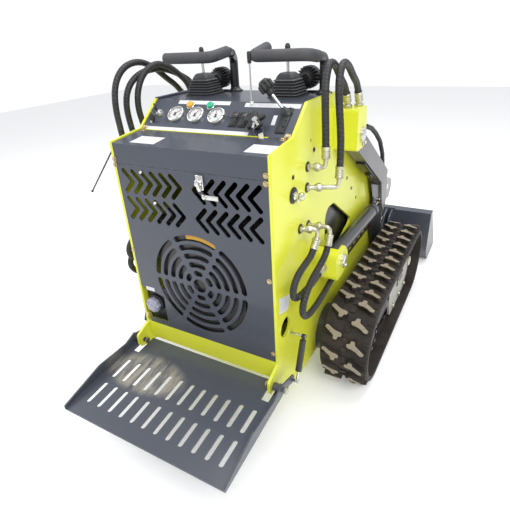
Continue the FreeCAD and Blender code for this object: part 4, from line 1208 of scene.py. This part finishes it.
def makePanel():
    bolts, chrome, small = newMeshes(3)
    for y, z in detail["panelBolts"]:
        hexBolt(bolts, at(0, y, z), rearward, 10.5, 4.5, 8.5)
    for side in (-1, 1):
        hexBolt(bolts, at(130, side * 262, 1029.5), up, 12, 5, 10)
        hexBolt(bolts, onSlope(0.05, side * 268), slopeNormal, 12, 5, 10)
    piece("panel_bolts", bolts, "brass")
    y, z = detail["latch"]
    slab(chrome, 13, 23, 0, 7, panelFrame(y, z), 4.5)
    turned(chrome, [(11.5, 6), (11.5, 10), (8.5, 13), (7.5, 20), (0, 21)], at(0, y, z), rearward, 28)
    lever = panelFrame(y, z, 13) @ swung("Z", -18)
    block(chrome, (-5.5, -24, 0), (5.5, 12, 5), lever, 2.2)
    piece("panel_latch_parts", chrome, "bright", "panel_latch")
    y, z = detail["catch"]
    slab(small, 29, 7.5, 0, 2.5, panelFrame(y, z), 1.1)
    turned(small, [(7.5, 0), (7.5, 5), (5, 7), (0, 7)], at(0, y + 20, z), rearward, 20)
    for y, z in detail["clips"]:
        turned(small, [(6.2, 0), (6.2, 3), (4, 6), (0, 6.5)], at(0, y, z), rearward, 18)
    piece("panel_catches", small, "bright")


def makeArc():
    # a strip of amber trim behind the fan guard's outer ring
    bm, own = newMeshes(2)
    ring = [(172, 5), (187, 5), (187, 6.2), (172, 6.2)]
    verts, edges = closedRing(own, [offset(r, 0, h) for r, h in ring])
    last = edgesOf(spin(own, verts + edges, (0, 0, 0), up, math.radians(38), 24))
    ops.contextual_create(own, geom=edges)
    ops.contextual_create(own, geom=last)
    ops.recalc_face_normals(own, faces=own.faces)
    merge(bm, own, panelFrame(0, detail["fan"], -10.5) @ swung("Z", 79))
    piece("amber_trim", bm, "amber")


def makeCap():
    # lilac hand cap with eight flutes, on a black plate
    low, high, foot, head = detail["notch"]
    dark, cap = newMeshes(2)
    back = [(low - 4, foot - 16), (high - 1, foot - 16), (high - 1, head + 20), (low - 4, head + 20)]
    prism(dark, back, 3, panelFrame(0, 0, -26.2))
    y, z = detail["cap"]
    turned(dark, [(36, 0), (36, 8), (31, 12), (0, 12)], at(23, y, z), rearward, 36)
    piece("cap_seat", dark, "plastic", "filler_cap")
    prism(cap, lobed(96, 28.5, 2.2, 8), 19, panelFrame(y, z, -12), 3, 3)
    turned(cap, [(19, 18), (18, 20.5), (12, 21.5), (0, 21.8)], at(11.5, y, z), rearward, 32)
    slab(cap, 22.5, 4.5, 0, 5.5, panelFrame(y, z, 8) @ Matrix.Rotation(0.5, 4, "Z"), 2.4)
    piece("filler_cap_knob", cap, "lilac", "filler_cap")


def makeSides():
    bright, darks, interiorShade = newMeshes(3)
    knob = [
        (13.5, 5), (13.5, 9), (9.5, 12), (9, 19), (12, 23), (13.5, 28), (12, 33), (7, 35.5), (0, 35.8),
    ]
    low, high, foot, head = detail["window"]
    corners = [(low - 12, foot - 10), (high + 12, foot - 10), (high + 12, head + 10), (low - 12, head + 10)]
    for side, out in outwards:
        frame = sideFrame(side, *detail["sideKnob"])
        place = frame.translation
        turned(darks, [(25, 0), (25, 3), (22, 5.5), (13.5, 6), (0, 6)], place, out, 40)
        turned(bright, knob, place, out, 32)
        block(bright, (-3.5, -21, 12), (3.5, -6, 18), frame, 1.4)
        for x, z, radius in detail["sideBolts"]:
            button(darks, sideFrame(side, x, z).translation, out, radius)
        for x, z in detail["bores"]:
            bore = [(7.5, -4), (7.5, 0.6), (4.5, 0.6), (4, -3)]
            turned(darks, bore, sideFrame(side, x, z).translation, out, 20)
        # a black sheet inside each window cut-out stands for the dark interior: painted shade over the
        # black parts within
        prism(interiorShade, corners, 3, sideFrame(side, 0, 0, plateFace - detail["shadeInset"]), 1)
        for node, x, z, across in detail["keepers"]:
            addKeeper(bright, node, side, out, x, z, across)
    piece("side_knob_parts", bright, "bright", "side_knobs")
    piece("side_dark_parts", darks, "plastic")
    piece("window_interior_shade", interiorShade, "black")


def addKeeper(bm, node, side, out, x, z, across):
    # a keeper plate, its bolt and the pin's domed head, on a box's outer face
    frame = sideFrame(side, x, z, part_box(node)[1][1])
    turned(bm, [(20, 0), (20, 5), (17, 9), (9, 10.5), (0, 11)], frame.translation, out, 36)
    plate = frame @ swung("Z", -62)
    block(bm, (6, -10, 0), (across, 10, 4), plate, 1.8)
    hexBolt(bm, (plate @ shifted(across - 10, 0, 4)).translation, out, 12, 6, 8)


stay = {"route": [(46, 288, 1000), (36, 312, 994), (30, 464, 823)], "radius": 2.6}


def makeStay():
    bm = bmesh.new()
    route = [at(*p) for p in stay["route"]]
    tube(bm, route, stay["radius"], 20, 12)
    ball(bm, route[-1], 4.8, 14)
    turned(bm, [(9, 0), (9, 3), (4.5, 6), (0, 6)], at(46, 290, 1000), (0, 1, 0), 20)
    piece("side_stay", bm, "plastic")


hood = {
    "rows": 6,
    "firstRow": 0.5,
    "rowStep": 0.062,
    "columns": (-115, 115),
    "louvre": (9, 78, 6.5),
    "hinges": (-190, 190),
}


def hoodFrame(share, y):
    # X down the hood, Y to the left, Z off the sheet
    low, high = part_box("hood")
    start = Vector((rearX + 0.52, y / 1000, high[2] - 0.026))
    end = Vector((high[0] - 0.05, y / 1000, low[2] + 0.06))
    lean = math.atan2(start.z - end.z, end.x - start.x)
    return Matrix.Translation(start.lerp(end, share)) @ Matrix.Rotation(lean, 4, "Y")


def makeHood():
    # pressed louvres with painted shade in their mouths, two hinges at the top edge and a catch at the nose
    louvres, metal, darks = newMeshes(3)
    wide, long, tall = hood["louvre"]
    for y in hood["columns"]:
        for row in range(hood["rows"]):
            place = hoodFrame(hood["firstRow"] + row * hood["rowStep"], y)
            slab(louvres, wide, long, -1, tall, place, 4)
            # a black strip in each louvre's mouth stands for the opening: painted shade
            block(darks, (wide - 1.5, 8 - long, 0.5), (wide + 0.6, long - 8, 3.8), place, 0.4, 1)
    for y in hood["hinges"]:
        place = hoodFrame(0.02, y)
        out = place.to_3x3() @ up
        block(metal, (2, -32, -1), (44, 32, 2.2), place, 0.8)
        addRod(metal, place @ offset(0, -34, 4), place @ offset(0, 34, 4), 5.5)
        for across in (-18, 18):
            button(metal, place @ offset(30, across, 2.2), out, 5.2)
    place = hoodFrame(0.955, 0)
    slab(darks, 26, 36, -1, 3.5, place, 1.6)
    slab(darks, 7, 30, 3, 12.5, place, 3.5)
    piece("hood_louvres", louvres, "slate")
    piece("hood_hinges", metal, "zinc")
    piece("hood_catch_and_louvre_shade", darks, "plastic")


# arms, tracks' frames, platform and bucket

arm = {
    "pivot": (520, 970),
    "knee": (1010, 672),
    "outer": 354,
    "pipe": [
        (655, 915), (660, 958), (712, 957), (790, 934), (866, 897), (945, 847), (1006, 778), (1028, 722),
        (1030, 690),
    ],
    "pipeLine": 334,
}


def beamFrame(side, share):
    # X along a beam from its pivot, Y across it, Z out of its outer face
    (x0, z0), (x1, z1) = arm["pivot"], arm["knee"]
    lean = math.atan2(z1 - z0, x1 - x0)
    turn = Matrix((
        (math.cos(lean), -math.sin(lean), 0), (0, 0, side), (math.sin(lean), math.cos(lean), 0),
    )).to_4x4()
    place = at(x0 + (x1 - x0) * share, side * arm["outer"], z0 + (z1 - z0) * share)
    return Matrix.Translation(place) @ turn


def makeArmParts():
    # pipes with their end fittings, and guards inside the beams
    pipes, metal = newMeshes(2)
    for side in (1, -1):
        route = [at(x, side * arm["pipeLine"], z) for x, z in arm["pipe"]]
        tube(pipes, route, 9.5, 50)
        for end, beside in (route[:2], route[:-3:-1]):
            aim = (end - beside).normalized()
            turned(metal, [(12.5, -20), (12.8, -18), (12.8, 4), (9, 6)], end, aim)
            hexNut(metal, end + aim * 0.003, aim, 24, 11)
    piece("arm_pipes", pipes, "rubber", body="lift_arm", smooth=50)
    piece("arm_metalwork", metal, "zinc", body="lift_arm")
    for side, hand in sides:
        guard = bmesh.new()
        block(guard, (-100, -48, -45), (100, -41, -6), beamFrame(side, 0.55), 2)
        block(guard, (-22, -56, -38), (22, -46, -12), beamFrame(side, 0.66), 3)
        piece("beam_guard_" + hand, guard, "black", body="lift_arm")


frames = {
    "bolts": ((760, 285), (900, 285), (1045, 285), (815, 105), (930, 105), (1040, 105)),
    "cover": (930, 196),
}


def makeTrackFrames():
    # bolts and a grease cover on the frames' outer faces, and hubs on the four wheels
    bolts, covers = newMeshes(2)
    face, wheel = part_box("track_frames")[1][1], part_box("drive_sprockets")[1][1]
    level = track["radius"] * 1000
    for side, out in outwards:
        for x, z in frames["bolts"]:
            hexBolt(bolts, sideFrame(side, x, z, face).translation, out, 18, 8, 15)
        cover = sideFrame(side, *frames["cover"], face)
        prism(covers, rectangle(55, 22), 4, cover, 1.5)
        for x in (-44, 44):
            button(bolts, (cover @ shifted(x, 0, 4)).translation, out, 5.5)
        hub = sideFrame(side, track["front"] * 1000, level, face)
        turned(bolts, [(26, 0), (26, 5), (21, 9), (8, 11), (0, 11)], hub.translation, out, 36)
        hub = sideFrame(side, track["rear"] * 1000, level, wheel)
        turned(covers, [(70, 0), (70, 8), (60, 14), (30, 18), (0, 19)], hub.translation, out, 40)
        for x, y in lobed(8, 50):
            hexBolt(covers, (hub @ shifted(x, y, 14)).translation, out, 14, 6, 9)
    piece("track_bolts", bolts, "zinc")
    piece("wheel_hubs", covers, "black")


platformPin = (-40, 258)    # (x, z)


def makePlatformParts():
    # heads on both ends of the platform's pins
    heads = bmesh.new()
    outer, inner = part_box("platform")[1][1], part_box("rear_panel")[1][1] - 0.014
    for side, out in outwards:
        place = sideFrame(side, *platformPin, outer).translation
        turned(heads, [(12.5, -1), (12.5, 3), (10, 5.5), (0, 6)], place, out, 28)
        place = sideFrame(side, *platformPin, inner).translation
        turned(heads, [(12, 0), (12, 2.5), (6, 4), (0, 4.2)], place, -out)
    piece("platform_pin_heads", heads, "zinc", body="platform")


def makeBucketParts():
    # welds along the inner corners and bolts through the cutting edge
    welds, bolts = newMeshes(2)
    (rear, _, _), (front, half, top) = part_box("bucket")
    corner, weld = half - 0.0085, 3.5
    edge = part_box("bucket_edge")[1]
    for i in range(9):
        place = (edge[0] - 0.075, (i - 4) * 0.118, edge[2])
        turned(bolts, [(12.5, -1), (12.5, 2), (8.5, 5.5), (0, 6)], place, up)
    for y in (corner, -corner):
        addRod(welds, (rear + 0.012, y, top - 0.012), (rear + 0.012, y, 0.105), weld, 12)
        addRod(welds, (front - 0.135, y, 0.0125), (rear + 0.09, y, 0.0125), weld, 12)
    x, z = rear + 0.008, top - 0.01
    addRod(welds, (x, -half + 0.01, z), (x, half - 0.01, z), 3, 12)
    piece("bucket_welds", welds, "slate", body="hitch")
    piece("edge_bolts", bolts, "worn", body="hitch")


# stage

view = {
    "place": (-1.6678, -0.7982, 1.3065),
    "ahead": (0.75929517, 0.45446162, -0.46576333),
    "roll": -3.54,
    "lens": 30.05,
}


def aimed(made, place, ahead, roll=0):
    turn = Vector(ahead).to_track_quat("-Z", "Y").to_matrix().to_4x4()
    made.matrix_world = Matrix.Translation(place) @ turn @ swung("Z", roll)


def makeCamera():
    camera = bpy.data.cameras.new("camera")
    camera.lens = view["lens"]
    camera.sensor_width = 36.0
    scene.camera = newObject("camera", camera)
    aimed(scene.camera, view["place"], view["ahead"], view["roll"])


def makeLight(name, place, aim, size, power):
    light = bpy.data.lights.new(name, "AREA")
    light.shape = "DISK"
    light.size = size
    light.energy = power
    aimed(newObject(name, light), place, Vector(aim) - Vector(place))


def makeSky():
    # the sky itself is seen white, and lights the machine more softly
    world = bpy.data.worlds.new("studio")
    world.use_nodes = True
    sky = Nodes(world.node_tree)
    rays = sky.node("LightPath").outputs["Is Camera Ray"]
    seen = sky.node("MapRange", None, {"Value": rays, "To Min": 0.76, "To Max": 1.06})
    background = sky.tree.nodes["Background"]
    sky.feed(background.inputs["Color"], (0.95, 0.97, 1.0, 1.0))
    sky.feed(background.inputs["Strength"], seen.outputs["Result"])
    scene.world = world


def floorFinish():
    f = Finish("paleFloor")
    cloud = f.noise(1.5, 2.0, 0.5)
    f.set(colour=f.blend(cloud, (0.88, 0.88, 0.88), (0.86, 0.86, 0.865)))
    return f.set(roughness=cloud * 0.1 + 0.7, glow=(1.0, 1.0, 1.0), glowPower=0.2)


def makeFloor():
    bm = bmesh.new()
    ops.create_grid(bm, x_segments=1, y_segments=1, size=9.0)
    ops.translate(bm, verts=bm.verts, vec=(0, 0, cadBox[0][2]))
    floor = newObject("floor", meshFrom("floor", bm))
    floor.data.materials.append(floorFinish())


makeCamera()
makeLight("key", (-2.6, -2.4, 3.6), (0, 0, 0.5), 2.6, 105)
makeLight("fill", (-1.5, 3.2, 2.6), (0, 0, 0.6), 3.0, 52)
makeLight("top", (0.6, -0.2, 4.0), (0, 0, 0.5), 3.4, 82)
makeSky()
makeFloor()
print("stage set")
makeHoses()
makeTrack("rubber_track_left", 1, "track_left")
makeTrack("rubber_track_right", -1, "track_right")
print("tracks made")
makeGauges()
makeSwitches()
makeLevers()
makeStrips()
print("console fitted")
makeBoots()
makeGrips()
print("boots and grips made")
makeLamps()
print("lamps made")
makeFittings()
print("fittings made")
makeStay()
makeHood()
makePanel()
makeArc()
makeCap()
makeSides()
print("small metalwork made")
makeArmParts()
makeTrackFrames()
makePlatformParts()
makeBucketParts()
print("arms, tracks, platform and bucket fitted")
